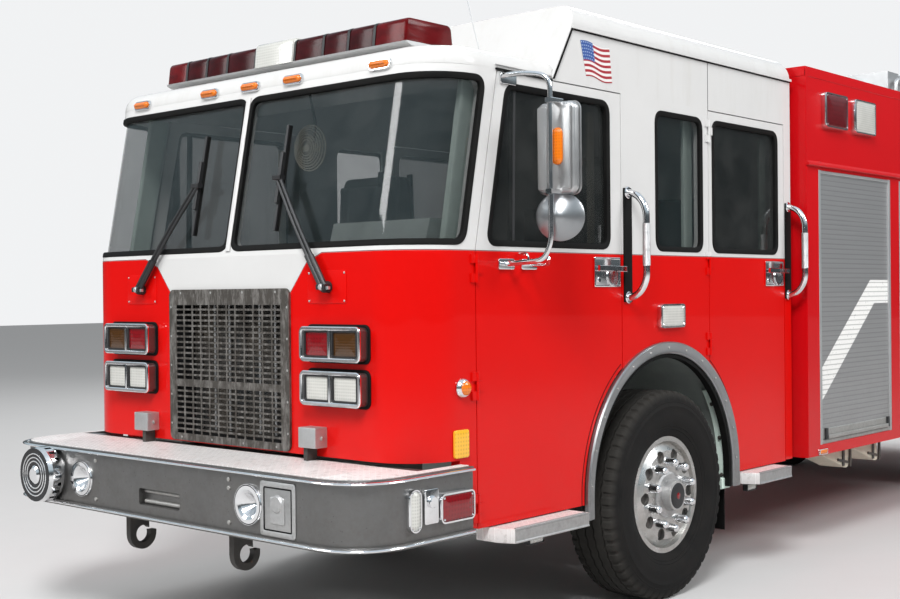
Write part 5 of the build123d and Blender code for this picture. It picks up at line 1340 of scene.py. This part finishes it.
def tyre(rows):
    """Closed section of offset and radius about local Z: columns in four wavy grooves sway with the
    angle, and the shoulder dips at every lug."""
    # Each row: offset, radius, share of the sway, share of the dip.
    side = np.array([
        (0.1020, 0.2855, 0, 0), (0.112, 0.297, 0, 0), (0.122, 0.315, 0, 0), (0.134, 0.342, 0, 0),
        (0.144, 0.368, 0, 0),
        (0.1490, 0.393, 0, 0), (0.1495, 0.418, 0, 0), (0.1475, 0.446, 0, 0), (0.1490, 0.449, 0, 0),
        (0.1485, 0.455, 0, 0), (0.1460, 0.458, 0, 0), (0.1430, 0.480, 0, 0), (0.1415, 0.492, 0, 0.3),
        (0.1375, 0.503, 0, 1), (0.1310, 0.516, 0, 1), (0.1230, 0.526, 0, 1), (0.1120, 0.5305, 0, 1),
        (0.0960, 0.5318, 0, 1), (0.0860, 0.5322, 1, 0.8), (0.0820, 0.5324, 1, 0), (0.0800, 0.5205, 1, 0),
        (0.0735, 0.5205, 1, 0), (0.0715, 0.5328, 1, 0), (0.0500, 0.5334, 0, 0.3), (0.0285, 0.5338, 1, 0),
        (0.0265, 0.5215, 1, 0), (0.0200, 0.5215, 1, 0), (0.0180, 0.5339, 1, 0), (0.0, 0.5340, 0, 0.3)])
    inner = [(-0.094, 0.302, 0, 0), (0.0, 0.318, 0, 0), (0.094, 0.302, 0, 0), (0.1020, 0.2855, 0, 0)]
    section = np.vstack([side, side[-2::-1] * (-1, 1, 1, 1), inner])
    angles = np.linspace(0, TAU, rows * 8, endpoint=False)
    phase = (angles * rows / TAU) % 1.0
    offset, radius, share, notch = section.T[:, :, None]
    offset = offset + share * 0.0035 * (4 * abs(phase - 0.5) - 1)
    radius = radius - notch * 0.0085 * (abs(phase - 0.5) > 0.3)
    points = np.stack([radius * np.cos(angles), radius * np.sin(angles), offset], -1)
    return grid(points, around=True, caps=False)


class FIRE_OT_wheels(bpy.types.Operator):
    """Tyre treads, lug covers and hub caps: blocks and turned profiles repeated round each axle."""

    bl_idname = "fire.wheels"
    bl_label = "Wheels"

    def execute(self, context):
        tread = tyre(settings().tread_rows)
        shade = spun([(0.171, 0.0), (0.2385, 0.0), (0.2385, 0.002), (0.171, 0.002), (0.171, 0.0)], 48,
                     caps=False)
        nut = spun([(0.0, 0.062), (0.012, 0.061), (0.0190, 0.054), (0.0215, 0.044), (0.0215, 0.012),
                    (0.0260, 0.004),
                    (0.0260, 0.0), (0.0, 0.0)], 12)
        nuts = [moved(nut, turned(degrees, "Z") @ shift(0.1675, 0, 0) @ turned(-degrees, "Z"))
                for degrees in range(18, 360, 36)]
        rear_hub = spun([(0.0, 0.205), (0.040, 0.204), (0.050, 0.198), (0.052, 0.186), (0.090, 0.180),
                         (0.104, 0.172),
                         (0.107, 0.0), (0.0, 0.0)], 48)
        plate = spun([(0.0, 0.0605), (0.070, 0.0605), (0.0765, 0.055), (0.078, 0.0145), (0.108, 0.0145),
                      (0.118, 0.006),
                      (0.118, 0.0), (0.0, 0.0)], 48)
        cap = spun([(0.0, 0.0650), (0.018, 0.0650), (0.020, 0.0640), (0.030, 0.0640), (0.062, 0.0625),
                    (0.066, 0.0600),
                    (0.0, 0.0600)], 40)
        dot = spun([(0.0, 0.0665), (0.014, 0.0662), (0.017, 0.0648), (0.0, 0.0648)], 28)
        front_hub = (("plate", plate, "satin aluminium"), ("cap", cap, "black plastic"),
                     ("dot", dot, "red lens"))
        for side, axis, sign in SEATS:
            for axle, place, offsets, cover, depth in (("front", FRONT_AXLE, (1.072,), 1.195, -0.0205),
                                                       ("rear", REAR_AXLE, (1.092, 0.750), 0.943, -0.010)):
                body = f"wheel_{axle}_{side}"
                tyres = [fixed(tread, axis, sign * x, place, AXLE_HEIGHT) for x in offsets]
                piece = put(f"tyre_surface_{axle}_{side}", tyres, "tyre rubber", body, "tyre")
                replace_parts(piece, f"tyre_{axle}_{side}")
                seat = at(axis, sign * cover, place, AXLE_HEIGHT)
                put(f"hand_hole_shade_{axle}_{side}", moved(shade, seat @ shift(0, 0, depth)),
                    "chassis black", body)
                plated = nuts + [rear_hub] if axle == "rear" else nuts
                put(f"lug_covers_{axle}_{side}", moved(join(plated), seat), "bright plating", body)
                for name, form, tone in front_hub if axle == "front" else ():
                    put(f"hub_{name}_{side}", moved(form, seat), tone, body)
        return {"FINISHED"}


def curtain(width, low, high):
    """Slats as a ribbed sheet: within each slat the depth rises from a joint, 10 mm deep, to the face."""
    pitch = settings().slat_pitch
    starts = low + pitch * np.arange(int((high - low) / pitch))
    heights = np.add.outer(starts, pitch * np.array((0.0, 0.09, 0.18, 0.5, 0.82, 0.91))).ravel()
    depths = np.tile((-0.0100, -0.0075, -0.0008, 0.0006, -0.0008, -0.0075), len(starts))
    across, up = np.meshgrid((-width / 2, width / 2), heights)
    return grid(np.stack([across, up, np.column_stack([depths, depths])], -1))


class FIRE_OT_shutters(bpy.types.Operator):
    """Roll-up doors: slats as a ribbed profile in height carried across each bay, with side tracks,
    a top seal and a bottom bar with its lift handle."""

    bl_idname = "fire.shutters"
    bl_label = "Roll-up doors"

    def execute(self, context):
        top = 2.293
        slats, tracks, bars, seals = [], [], [], []
        rail = [(-0.016, -0.012), (0.016, -0.012), (0.016, 0.010), (0.013, 0.0125), (-0.013, 0.0125),
                (-0.016, 0.010)]

        def bay(width, low, *seat):
            def across(inset, height, depth, *size):
                end = width / 2 - inset
                return fixed(bar((-end, height, depth), (end, height, depth), *size), *seat)

            slats.append(fixed(curtain(width - 0.05, low + 0.09, top - 0.045), *seat))
            tracks.append(across(0.03, top - 0.010, 0.0, 0.018, 0.022))
            seals.append(across(0.034, top - 0.030, -0.004, 0.022, 0.012))
            bars.append(across(0.034, low + 0.062, 0.001, 0.060, 0.020))
            bars.append(across(0.09, low + 0.040, 0.019, 0.022, 0.014))
            bars.append(across(0.02, low + 0.012, 0.0, 0.026, 0.018))
            for side in SIDES:
                edge, hook, end = (side * (width / 2 - inset) for inset in (0.018, 0.075, 0.10))
                tracks.append(fixed(carried([(edge, low, 0), (edge, top, 0)], rail), *seat))
                seals.append(fixed(bar((hook, low + 0.030, 0.016), (hook, low + 0.095, 0.016), 0.030, 0.014),
                                   *seat))
                bars.append(fixed(bar((end, low + 0.040, 0), (end, low + 0.040, 0.018), 0.026, 0.020,
                                      (0, 1, 0)), *seat))

        bays = ((3.469, 4.527, 0.641), (4.665, 6.180, 0.641), (6.310, 7.590, 1.330), (7.720, 8.560, 0.641))
        for start, end, low in bays:
            for _, axis, sign in SEATS:
                bay(end - start, low, axis, sign * (BODY_SIDE - 0.0125), (start + end) / 2, 0)
        bay(1.24, 0.92, "+y", 0, TAIL - 0.0125, 0)
        put("shutter_slats", slats, "shutter slats", "chassis", weld=0)
        put("shutter_tracks", tracks, "satin aluminium", "chassis")
        put("shutter_bars", bars, "brushed stainless", "chassis")
        put("shutter_seals", seals, "black plastic", "chassis", "rubber")
        return {"FINISHED"}


class FIRE_OT_flag(bpy.types.Operator):
    """Striped decals on the raised roof: a small grid whose rows ripple as a sine wave."""

    bl_idname = "fire.flag"
    bl_label = "Side decals"

    def execute(self, context):
        u, v = np.meshgrid(np.linspace(0, 1, 41), np.linspace(0, 1, 25))

        def between(low_start, low_end, high_start, high_end):
            """Blends the four corners of the decal over its grid."""
            return (1 - v) * ((1 - u) * low_start + u * low_end) + v * ((1 - u) * high_start + u * high_end)

        height = between(2.593, 2.580, 2.756, 2.746) + 0.006 * np.sin(u * TAU * 1.1)
        distance = between(1.191, 1.406, 1.146, 1.384)
        points = np.stack([np.full(u.shape, CAB_SIDE + 0.0012), back(distance), height], -1)
        uv = np.stack([u, v], -1).reshape(-1, 2)
        pair("side_flag", grid(points), "flag decal", "cab", "white_paint", weld=0, uv=uv)
        return {"FINISHED"}


class FIRE_OT_roof(bpy.types.Operator):
    """Drip rails, aerial, locker lids with hinges and latches, and the body's ledges."""

    bl_idname = "fire.roof"
    bl_label = "Roof and body trim"

    def cab(self):
        x = CAB_SIDE + 0.004
        front = placed([(x, 0.517, 2.556), (x, 0.918, 2.551)])
        upper = placed([(x, 1.071, 2.811), (x, 3.249, 2.811)])
        slope = placed([(x - 0.003, 0.918, 2.551), (x - 0.003, 1.071, 2.811)])
        gutter = [(-0.008, -0.006), (-0.008, 0.010), (0.004, 0.012), (0.004, 0.008), (-0.004, 0.006),
                  (-0.004, -0.006)]
        edge = [(-0.012, -0.010), (0.010, -0.010), (0.010, 0.004), (0.004, 0.004), (0.004, -0.004),
                (-0.012, -0.004)]
        drips = [carried(front, gutter), carried(upper, edge), carried(slope, circle(0.007, 8), up=OUT)]
        put("drip_rails", both(drips), "cab white", "cab")
        seams = [carried(front + (0.003, 0, -0.0105), oblong(-0.004, 0.004, -0.006, 0.003), up=OUT),
                 carried(upper + (0, 0, -0.0125), oblong(-0.0035, 0.0035, -0.006, 0.002), up=OUT),
                 carried(slope + (0.004, 0.014, 0), oblong(-0.004, 0.004, -0.003, 0.003), up=OUT),
                 beam(CAB_SIDE, 2.307, (2.545, 2.800), 0.004, 0.0016, OUT)]
        put("roof_seams", both(seams), "black rubber", "cab")
        foot = spun([(0.0, 0.02), (0.016, 0.018), (0.022, 0.0), (0.0, 0.0)], 20)
        whip = rod(placed([(0.90, 0.78, 2.645), (0.835, 0.785, 2.84), (0.780, 0.79, 3.04)]), 0.0022, 0.2, 8,
                   (0, 1, 0))
        put("aerial", [moved(foot, shift(0.90, back(0.78), 2.630)), whip], "satin aluminium", "cab")

    def body(self):
        edge = [beam(side * 1.262, (BODY_START, TAIL), 2.867, 0.012, 0.058) for side in SIDES]
        edge.append(beam((-1.262, 1.262), BODY_START + 0.003, 2.867, 0.012, 0.058))
        put("roof_edge_cap", edge, "body red", "chassis")
        lids, latches = [], []
        lid = pad(0.545, 1.19, 0.02, 0.006, 0.004)
        latch = join([pad(0.06, 0.09, 0.008, 0.008, 0.003), pad(0.03, 0.06, 0.006, 0.016, 0.004)])
        for middle in (5.320, 6.555, 7.790):
            lids.append(moved(lid, shift(0.90, back(middle), 3.0445)))
            for place in (middle - 0.4, middle + 0.4):
                lids.append(beam(0.635, (place - 0.06, place + 0.06), 3.046, 0.018, 0.014))
                latches.append(fixed(latch, "+x", 1.180, place, 3.0))
        put("locker_lids", both(lids), "tread plate", "chassis")
        put("locker_latches", both(latches), "bright plating", "chassis")
        x = 1.215
        rails = [rod(placed([(x, 4.75, 2.885), (x, 4.75, 2.99), (x, 8.35, 2.99), (x, 8.35, 2.885)]), 0.014,
                     0.06, up=OUT)]
        rails += [rod(placed([(x, place, 2.885), (x, place, 2.985)]), 0.010, count=10, up=OUT)
                  for place in (5.65, 6.55, 7.45)]
        put("roof_rails", both(rails), "satin aluminium", "chassis")
        section = [(-0.020, 0.0), (-0.004, 0.019), (0.008, 0.021), (0.012, 0.016), (0.008, 0.0)]
        ledge = carried(on_side([(BODY_START, 2.322), (TAIL, 2.322)], BODY_SIDE), section, up=OUT)
        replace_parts(put("body_ledges", both(ledge), "body red", "chassis"), "body_trim")
        strips = [beam(BODY_SIDE + 0.001, place, (0.585, 2.84), 0.028, 0.006, OUT) for place in (3.32, 8.63)]
        put("corner_strips", both(strips), "body red", "chassis")

    def execute(self, context):
        self.cab()
        self.body()
        return {"FINISHED"}


class FIRE_OT_steps(bpy.types.Operator):
    """Steps: chequered treads with folded bright side channels and raised nosings."""

    bl_idname = "fire.steps"
    bl_label = "Steps"

    def execute(self, context):
        channels, nosings, plates = [], [], []
        inner, outer = CAB_SIDE - 0.08, CAB_SIDE + 0.110
        section = [(-0.030, -0.004), (0.030, -0.004), (0.031, 0.003), (0.026, 0.004), (0.022, 0.001),
                   (-0.022, 0.001),
                   (-0.026, 0.004), (-0.031, 0.003)]
        levels = ((0.505, 0.995), (0.507, 1.0), (0.564, 1.0), (0.566, 0.995))
        for start, rise, end in ((0.455, 0.485, 1.030), (2.600, 2.640, 3.020)):
            outline = [(inner, start), (outer - 0.07, start), (outer, rise), (outer, end), (inner, end)]
            rows = layers(np.array(outline) + (0, CAB_FRONT), (CAB_SIDE, back((start + end) / 2)), levels, 2)
            plates.append(grid(rows, around=True))
            spine = [(outer + 0.0005, rise + 0.004, 0.5355), (outer + 0.0005, end - 0.002, 0.5355)]
            channels.append(carried(placed(spine), section, up=OUT))
            nosing = placed([(outer - 0.006, rise + 0.01, 0.567), (outer - 0.006, end - 0.02, 0.567)])
            nosings.append(rod(nosing, 0.004, count=8))
        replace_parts(put("step_plates", both(plates), "tread plate", "cab"), "cab_steps")
        put("step_channels", both(channels), "bright moulding", "cab")
        put("step_nosings", both(nosings), "bright moulding", "cab")
        step = TAIL + 0.275
        edge = rod(placed([(-1.19, step, 0.604), (1.19, step, 0.604)]), 0.006, count=8)
        put("tail_step_nosing", edge, "bright moulding", "chassis")
        return {"FINISHED"}


class FIRE_OT_chocks(bpy.types.Operator):
    """Wheel chocks: plain wedges, as a section in side view carried across, held by straps."""

    bl_idname = "fire.chocks"
    bl_label = "Wheel chocks"

    def execute(self, context):
        wedges, holders = [], []
        corners = [(0.0, 0.545), (0.012, 0.574), (0.352, 0.574), (0.372, 0.440), (0.330, 0.434), (0.0, 0.545)]
        levels = ((0.992, 0.9), (0.996, 1.0), (1.164, 1.0), (1.168, 0.9))
        for start in (3.700, 4.150):
            side = smooth_path(corners, 0.02, 5)[:-1] + (back(start), 0)
            wedges.append(grid(layers(side, side.mean(0), levels, 0), around=True))
            holders.append(beam(1.172, start + 0.285, (0.452, 0.560), 0.030, 0.006, OUT))
            holders.append(beam(1.174, (start + 0.20, start + 0.35), (0.500, 0.470), 0.016, 0.006, OUT))
            holders.append(beam(1.170, start + 0.386, (0.440, 0.578), 0.022, 0.012, OUT))
        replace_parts(put("chock_wedges", both(wedges), "ivory plastic", "chassis"), "wheel_chocks")
        put("chock_holders", both(holders), "cast metal", "chassis")
        return {"FINISHED"}


def cushion(width, depth, thick):
    """Crowned pad on the local XY plane: its outline pulls in between the corners by a sine, its
    thickness follows (1 - u^4)(1 - v^4) to the quarter power, and two sewn channels cross the face."""
    u, v = np.meshgrid(np.linspace(-1, 1, 28), np.linspace(-1, 1, 28))
    x = u * width / 2 * (1 - 0.030 * np.cos(v * math.pi / 2))
    y = v * depth / 2 * (1 - 0.030 * np.cos(u * math.pi / 2))
    swell = ((1 - np.abs(u) ** 4).clip(0) * (1 - np.abs(v) ** 4).clip(0)) ** 0.25
    seam = np.exp(-((np.abs(u) - 0.52) / 0.035) ** 2) * 0.010
    top = thick / 2 * swell + 0.02 * swell * (1 - u * u) * (1 - v * v) - seam * swell
    upper, lower = (grid(np.stack([x, y, z], -1)) for z in (top, -thick / 2 * swell))
    return join([upper, (lower[0], lower[1][:, ::-1], [])])


def places_of(mesh):
    """The places of a mesh's vertices."""
    flat = np.zeros(len(mesh.vertices) * 3)
    mesh.vertices.foreach_get("co", flat)
    return flat.reshape(-1, 3)


def stuffed(name, width, depth, thick):
    """One pad swollen by a short cloth simulation under pressure, as a form in its own place."""
    form = cushion(width * 0.955, depth * 0.955, thick * 0.86)
    points, quads, _ = form
    mesh = bpy.data.meshes.new(name)
    mesh.from_pydata(points.tolist(), [], quads.tolist())
    outward_faces(mesh, 1e-4)
    piece = bpy.data.objects.new(name, mesh)
    scene = bpy.context.scene
    scene.collection.objects.link(piece)
    rest = places_of(mesh)
    cloth = piece.modifiers.new("swell", "CLOTH")
    cloth.settings.use_pressure = True
    cloth.settings.uniform_pressure_force = 4.0
    cloth.settings.effector_weights.gravity = 0.0
    cloth.settings.quality = 4
    cloth.point_cache.frame_start, cloth.point_cache.frame_end = 1, 16
    for frame_number in range(1, 17):
        scene.frame_set(frame_number)
    swollen = piece.evaluated_get(bpy.context.evaluated_depsgraph_get())
    step = places_of(swollen.to_mesh()) - rest
    swollen.to_mesh_clear()
    length = np.linalg.norm(step, axis=1, keepdims=True)
    after = rest + step * np.minimum(1.0, 0.016 / np.maximum(length, 1e-9))
    faces = np.array([list(face.vertices) for face in mesh.polygons if len(face.vertices) == 4])
    bpy.data.objects.remove(piece)
    scene.frame_set(1)
    return after, faces, []


class FIRE_OT_seats(bpy.types.Operator):
    """Seats: crowned cushions and backs swollen by simulation, with shells and belts, four single
    seats and three places along the rear wall."""

    bl_idname = "fire.seats"
    bl_label = "Seats"

    def execute(self, context):
        seat_pad = stuffed("seat_try", 0.46, 0.42, 0.13)
        back_pad = stuffed("back_try", 0.45, 0.78, 0.10)
        bench_pad = stuffed("bench_try", 0.46, 0.26, 0.13)
        pads, shells, belts = {"front": [], "rear": [], "bench": []}, [], []
        for x in (0.82, -0.82):
            for name, place, degrees in (("front", 1.230, 0), ("rear", 2.400, 180)):
                base = shift(x, back(place), 1.36) @ turned(degrees, "Z")
                pads[name].append(moved(seat_pad, base @ shift(0, 0.20, 0.075) @ turned(-3, "X")))
                pads[name].append(moved(back_pad, base @ shift(0, 0.455, 0.52) @ turned(86, "X")))
                shells.append(moved(pad(0.46, 0.90, 0.05, 0.03, 0.01),
                                    base @ shift(0, 0.525, 0.47) @ turned(86, "X")))
            for place in (1.69, 1.94):
                belts.append(beam((x + 0.16, x + 0.17), place, (2.30, 1.42), 0.048, 0.004, (0, 1, 0)))
        for x in (-0.52, 0.0, 0.52):
            pads["bench"].append(moved(bench_pad, shift(x, back(2.920), 1.345)))
            pads["bench"].append(moved(back_pad, shift(x, back(3.125), 1.80) @ turned(87, "X")))
            shells.append(beam((x - 0.22, x + 0.22), 2.950, 1.13, 0.30, 0.25))
        pieces = []
        for name, forms in pads.items():
            piece = put(f"seat_pads_{name}", forms, "seat cloth", "cab", "seat_cloth", weld=1e-4)
            subdivide = piece.modifiers.new("smooth", "SUBSURF")
            subdivide.levels = subdivide.render_levels = 1
            pieces.append(piece)
        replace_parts(pieces[0], "seats")
        put("seat_shells", shells, "black plastic", "cab")
        put("seat_belts", belts, "black rubber", "cab")
        return {"FINISHED"}


class FIRE_OT_interior(bpy.types.Operator):
    """What shows through the glass: wheel rim grip, dials, dash cover, post covers, window strips and fan."""

    bl_idname = "fire.interior"
    bl_label = "Cab interior"

    def execute(self, context):
        rim = carried(np.insert(circle(0.235, 72), 2, 0.0, axis=1), circle(0.0155, 12), closed=True)
        boss = spun([(0.0, 0.03), (0.05, 0.028), (0.066, 0.018), (0.07, 0.0), (0.0, 0.0)], 32)
        hub = shift(0.790, back(0.800), 1.640) @ turned(-30, "X")
        put("wheel_grip", moved(join([rim, boss]), hub), "black plastic", "cab")
        seats = [("+y", x, 0.541, 1.80, math.radians(33)) for x in np.linspace(0.46, 0.94, 6)]
        dial = band(0.030, 0.036, 0.0, 0.006, 32)
        put("dial_rims", [fixed(dial, *seat) for seat in seats], "bright plating", "cab")
        face = spun([(0.0, 0.002), (0.030, 0.002), (0.030, 0.0), (0.0, 0.0)], 28)
        put("dial_faces", [fixed(face, *seat) for seat in seats], "black plastic", "cab")
        for door, place, high, width, tone in (("door_front", 1.318, 2.44, 0.050, "ivory plastic"),
                                               ("door_crew", 3.030, 2.45, 0.075, "window post")):
            pale = beam(1.122, place, (1.81, high), width, 0.012, OUT)
            pair(f"{door}_strip", pale, tone, f"{door}_", "grey_interior")
        posts = [beam(1.118, (0.285, 0.435), (1.74, 2.53), 0.11, 0.03, OUT),
                 beam(1.118, 2.205, (1.60, 2.50), 0.085, 0.02, OUT)]
        put("post_covers", both(posts), "post cover", "cab", "grey_interior")
        wires = ((0.108, 0.0), (0.098, 0.008), (0.086, 0.013), (0.074, 0.017), (0.062, 0.020), (0.050, 0.022),
                 (0.036, 0.023))
        fan = [band(radius, radius + 0.005, depth - 0.003, depth + 0.003, 40) for radius, depth in wires]
        spoke = rod([(0.012, 0, 0.016), (0.070, 0, 0.020), (0.110, 0, 0.0)], 0.0016, 0.02, 6)
        fan += [moved(spoke, turned(18 * k, "Z")) for k in range(20)]
        blade = moved(pad(0.055, 0.034, 0.014, 0.003, 0.001),
                      shift(0.036, 0, -0.004) @ Matrix.Rotation(0.5, 4, "X"))
        fan += [moved(blade, turned(90 * k, "Z")) for k in range(4)]
        fan.append(spun([(0.0, 0.024), (0.018, 0.020), (0.022, -0.03), (0.0, -0.034)], 20))
        # Painted highlight: the fan's guard is plated wire, but it takes the pale ivory plastic finish so that it
        # reads bright in the shade under the roof.
        put("defrost_fan", fixed(join(fan), "-y", 0.079, 0.450, 2.287), "ivory plastic", "cab")
        stalk = placed([(0.079, 0.47, 2.29), (0.079, 0.49, 2.40), (0.079, 0.44, 2.60)])
        put("fan_stalk", rod(stalk, 0.006, 0.03, 8, (0, 1, 0)), "black plastic", "cab")
        section = smooth_path([(0.12, 1.752), (0.30, 1.775), (0.46, 1.772), (0.588, 1.70)], 0.08)
        distance, x = np.meshgrid(section[:, 0], np.linspace(-1.08, 1.08, 40))
        height = section[:, 1] - 0.012 * (abs(x) / 1.1) ** 4
        put("dash_cover", grid(np.stack([x, back(distance), height], -1)), "interior grey", "cab",
            "grey_interior")
        return {"FINISHED"}


class FIRE_OT_rear(bpy.types.Operator):
    """Tail of the body: two grab rails, and a blank plate with its lamp."""

    bl_idname = "fire.rear"
    bl_label = "Tail"

    def execute(self, context):
        x = 0.70
        line = placed([(x, TAIL, 1.05), (x, TAIL + 0.085, 1.07), (x, TAIL + 0.085, 1.98), (x, TAIL, 2.0)])
        foot = spun([(0.0, 0.010), (0.028, 0.010), (0.032, 0.004), (0.032, 0.0), (0.0, 0.0)], 24)
        rails = [rod(line, 0.0165, 0.07, 14, OUT), *(fixed(foot, "+y", x, TAIL, z) for z in (1.05, 2.0))]
        put("tail_grab_rails", both(rails), "bright plating", "chassis")
        plate = fixed(pad(0.31, 0.16, 0.010, 0.006, 0.002), "+y", -0.96, TAIL, 0.90)
        put("blank_plate", plate, "bright moulding", "chassis")
        put("plate_lamp", beam((-1.03, -0.89), TAIL + 0.012, 0.995, 0.024, 0.02), "black plastic", "chassis")
        return {"FINISHED"}


class FIRE_OT_stage(bpy.types.Operator):
    """Camera from the photograph's place, pale floor, soft lamps and a plain pale world."""

    bl_idname = "fire.stage"
    bl_label = "Stage"

    def camera(self, scene):
        camera = bpy.data.objects.new("camera", bpy.data.cameras.new("camera"))
        scene.collection.objects.link(camera)
        yaw, pitch, roll = (math.radians(angle) for angle in (41.542, -0.318, -0.557))
        look = Vector((-math.sin(yaw) * math.cos(pitch), math.cos(yaw) * math.cos(pitch), math.sin(pitch)))
        right = Vector((math.cos(yaw), math.sin(yaw), 0))
        up = right.cross(look)
        right, up = right * math.cos(roll) + up * math.sin(roll), up * math.cos(roll) - right * math.sin(roll)
        place = Matrix((right, up, -look)).transposed().to_4x4()
        place.translation = Vector((4.750, -8.029, 1.579))
        camera.matrix_world = place
        camera.data.sensor_width = 36.0
        camera.data.lens = 1292.5 / 900.0 * 36.0
        camera.data.clip_end = 200.0
        scene.camera = camera

    def floor(self, scene):
        mesh = bpy.data.meshes.new("floor")
        mesh.from_pydata([(-60, -60, 0), (60, -60, 0), (60, 60, 0), (-60, 60, 0)], [], [(0, 1, 2, 3)])
        floor = bpy.data.objects.new("floor", mesh)
        scene.collection.objects.link(floor)
        tree = Tree("pale floor")
        grain = tree.noise(3.0, 4.0, 0.6)
        tone = tree.mix(grain * 0.3, (0.62, 0.62, 0.62), (0.54, 0.54, 0.54))
        mesh.materials.append(tree.close(tone, 0.75, 0.0, grain, 0.0003, specular=0.2))

    def lamps(self, scene):
        for name, spot, aim, size, power in (
            ("key", (6.0, -11.0, 10.5), (0.5, -2.5, 1.2), 4.0, 1680.0),
            ("side", (11.0, 3.0, 8.5), (1.0, 0.0, 1.2), 4.0, 800.0),
            ("front", (-6.0, -13.0, 8.0), (0.0, -3.0, 1.2), 4.0, 600.0),
            ("rear", (-7.0, 10.0, 8.0), (0.0, 1.0, 1.5), 6.0, 900.0),
        ):
            light = bpy.data.lights.new(name, "AREA")
            light.shape, light.size, light.energy = "SQUARE", size, power
            piece = bpy.data.objects.new(name, light)
            piece.location = spot
            piece.rotation_mode = "QUATERNION"
            piece.rotation_quaternion = (Vector(aim) - Vector(spot)).to_track_quat("-Z", "Y")
            scene.collection.objects.link(piece)

    def world(self, scene):
        """A sky that the camera sees plain, that mirrors show as a ramp in height, and that lights softly."""
        scene.world = bpy.data.worlds.new("pale world")
        scene.world.use_nodes = True
        sky = Nodes(scene.world.node_tree)
        camera, passed, glossy = (sky.node("ShaderNodeLightPath", {"out": kind})
                                  for kind in ("Is Camera Ray", "Is Transmission Ray", "Is Glossy Ray"))
        height = sky.split(sky.node("ShaderNodeTexCoord", {"out": "Generated"}))[2]
        stops = ((0.0, (0.04, 0.04, 0.04)), (0.50, (0.05, 0.055, 0.06)), (0.58, (0.12, 0.14, 0.15)),
                 (0.66, (0.5, 0.6, 0.66)), (1.0, (0.75, 0.85, 0.95)))
        ramp = sky.node("ShaderNodeValToRGB", {"stops": stops}, height * 0.5 + 0.5)
        levels = ((ramp, 1.0), ((1.0, 1.0, 1.0), 0.42), ((0.88, 0.89, 0.9), 1.0))
        mirrored, soft, plain = (sky.node("ShaderNodeBackground", {}, tone, strength)
                                 for tone, strength in levels)
        unseen = sky.node("ShaderNodeMixShader", {}, glossy, soft, mirrored)
        seen = sky.node("ShaderNodeMixShader", {}, camera.high(passed), unseen, plain)
        sky.node("ShaderNodeOutputWorld", {}, seen)

    def execute(self, context):
        scene = context.scene
        self.camera(scene)
        self.floor(scene)
        self.lamps(scene)
        self.world(scene)
        scene.view_settings.view_transform = "Standard"
        return {"FINISHED"}


PIECES = (FIRE_OT_finishes, FIRE_OT_gaskets, FIRE_OT_headlamps, FIRE_OT_lamps, FIRE_OT_light_bar,
          FIRE_OT_front,
          FIRE_OT_wipers, FIRE_OT_handles, FIRE_OT_rails, FIRE_OT_mirrors, FIRE_OT_arches, FIRE_OT_wheels,
          FIRE_OT_shutters, FIRE_OT_flag, FIRE_OT_roof, FIRE_OT_steps, FIRE_OT_chocks, FIRE_OT_seats,
          FIRE_OT_interior, FIRE_OT_rear, FIRE_OT_stage)


class FIRE_PT_panel(bpy.types.Panel):
    """Lists the sizes, colours and pieces in the sidebar."""

    bl_label = "Fire engine"
    bl_idname = "FIRE_PT_panel"
    bl_space_type = "VIEW_3D"
    bl_region_type = "UI"
    bl_category = "Fire engine"

    def draw(self, context):
        for name in FIRE_PG_settings.__annotations__:
            self.layout.prop(context.scene.fire_engine, name)
        for piece in PIECES:
            self.layout.operator(piece.bl_idname)


CLASSES = (FIRE_PG_settings, *PIECES, FIRE_PT_panel)


def register():
    for cls in CLASSES:
        bpy.utils.register_class(cls)
    bpy.types.Scene.fire_engine = bpy.props.PointerProperty(type=FIRE_PG_settings)


def unregister():
    del bpy.types.Scene.fire_engine
    for cls in reversed(CLASSES):
        bpy.utils.unregister_class(cls)


def main():
    register()
    for piece in PIECES:
        group, name = piece.bl_idname.split(".")
        getattr(getattr(bpy.ops, group), name)()


if __name__ == "__main__":
    main()
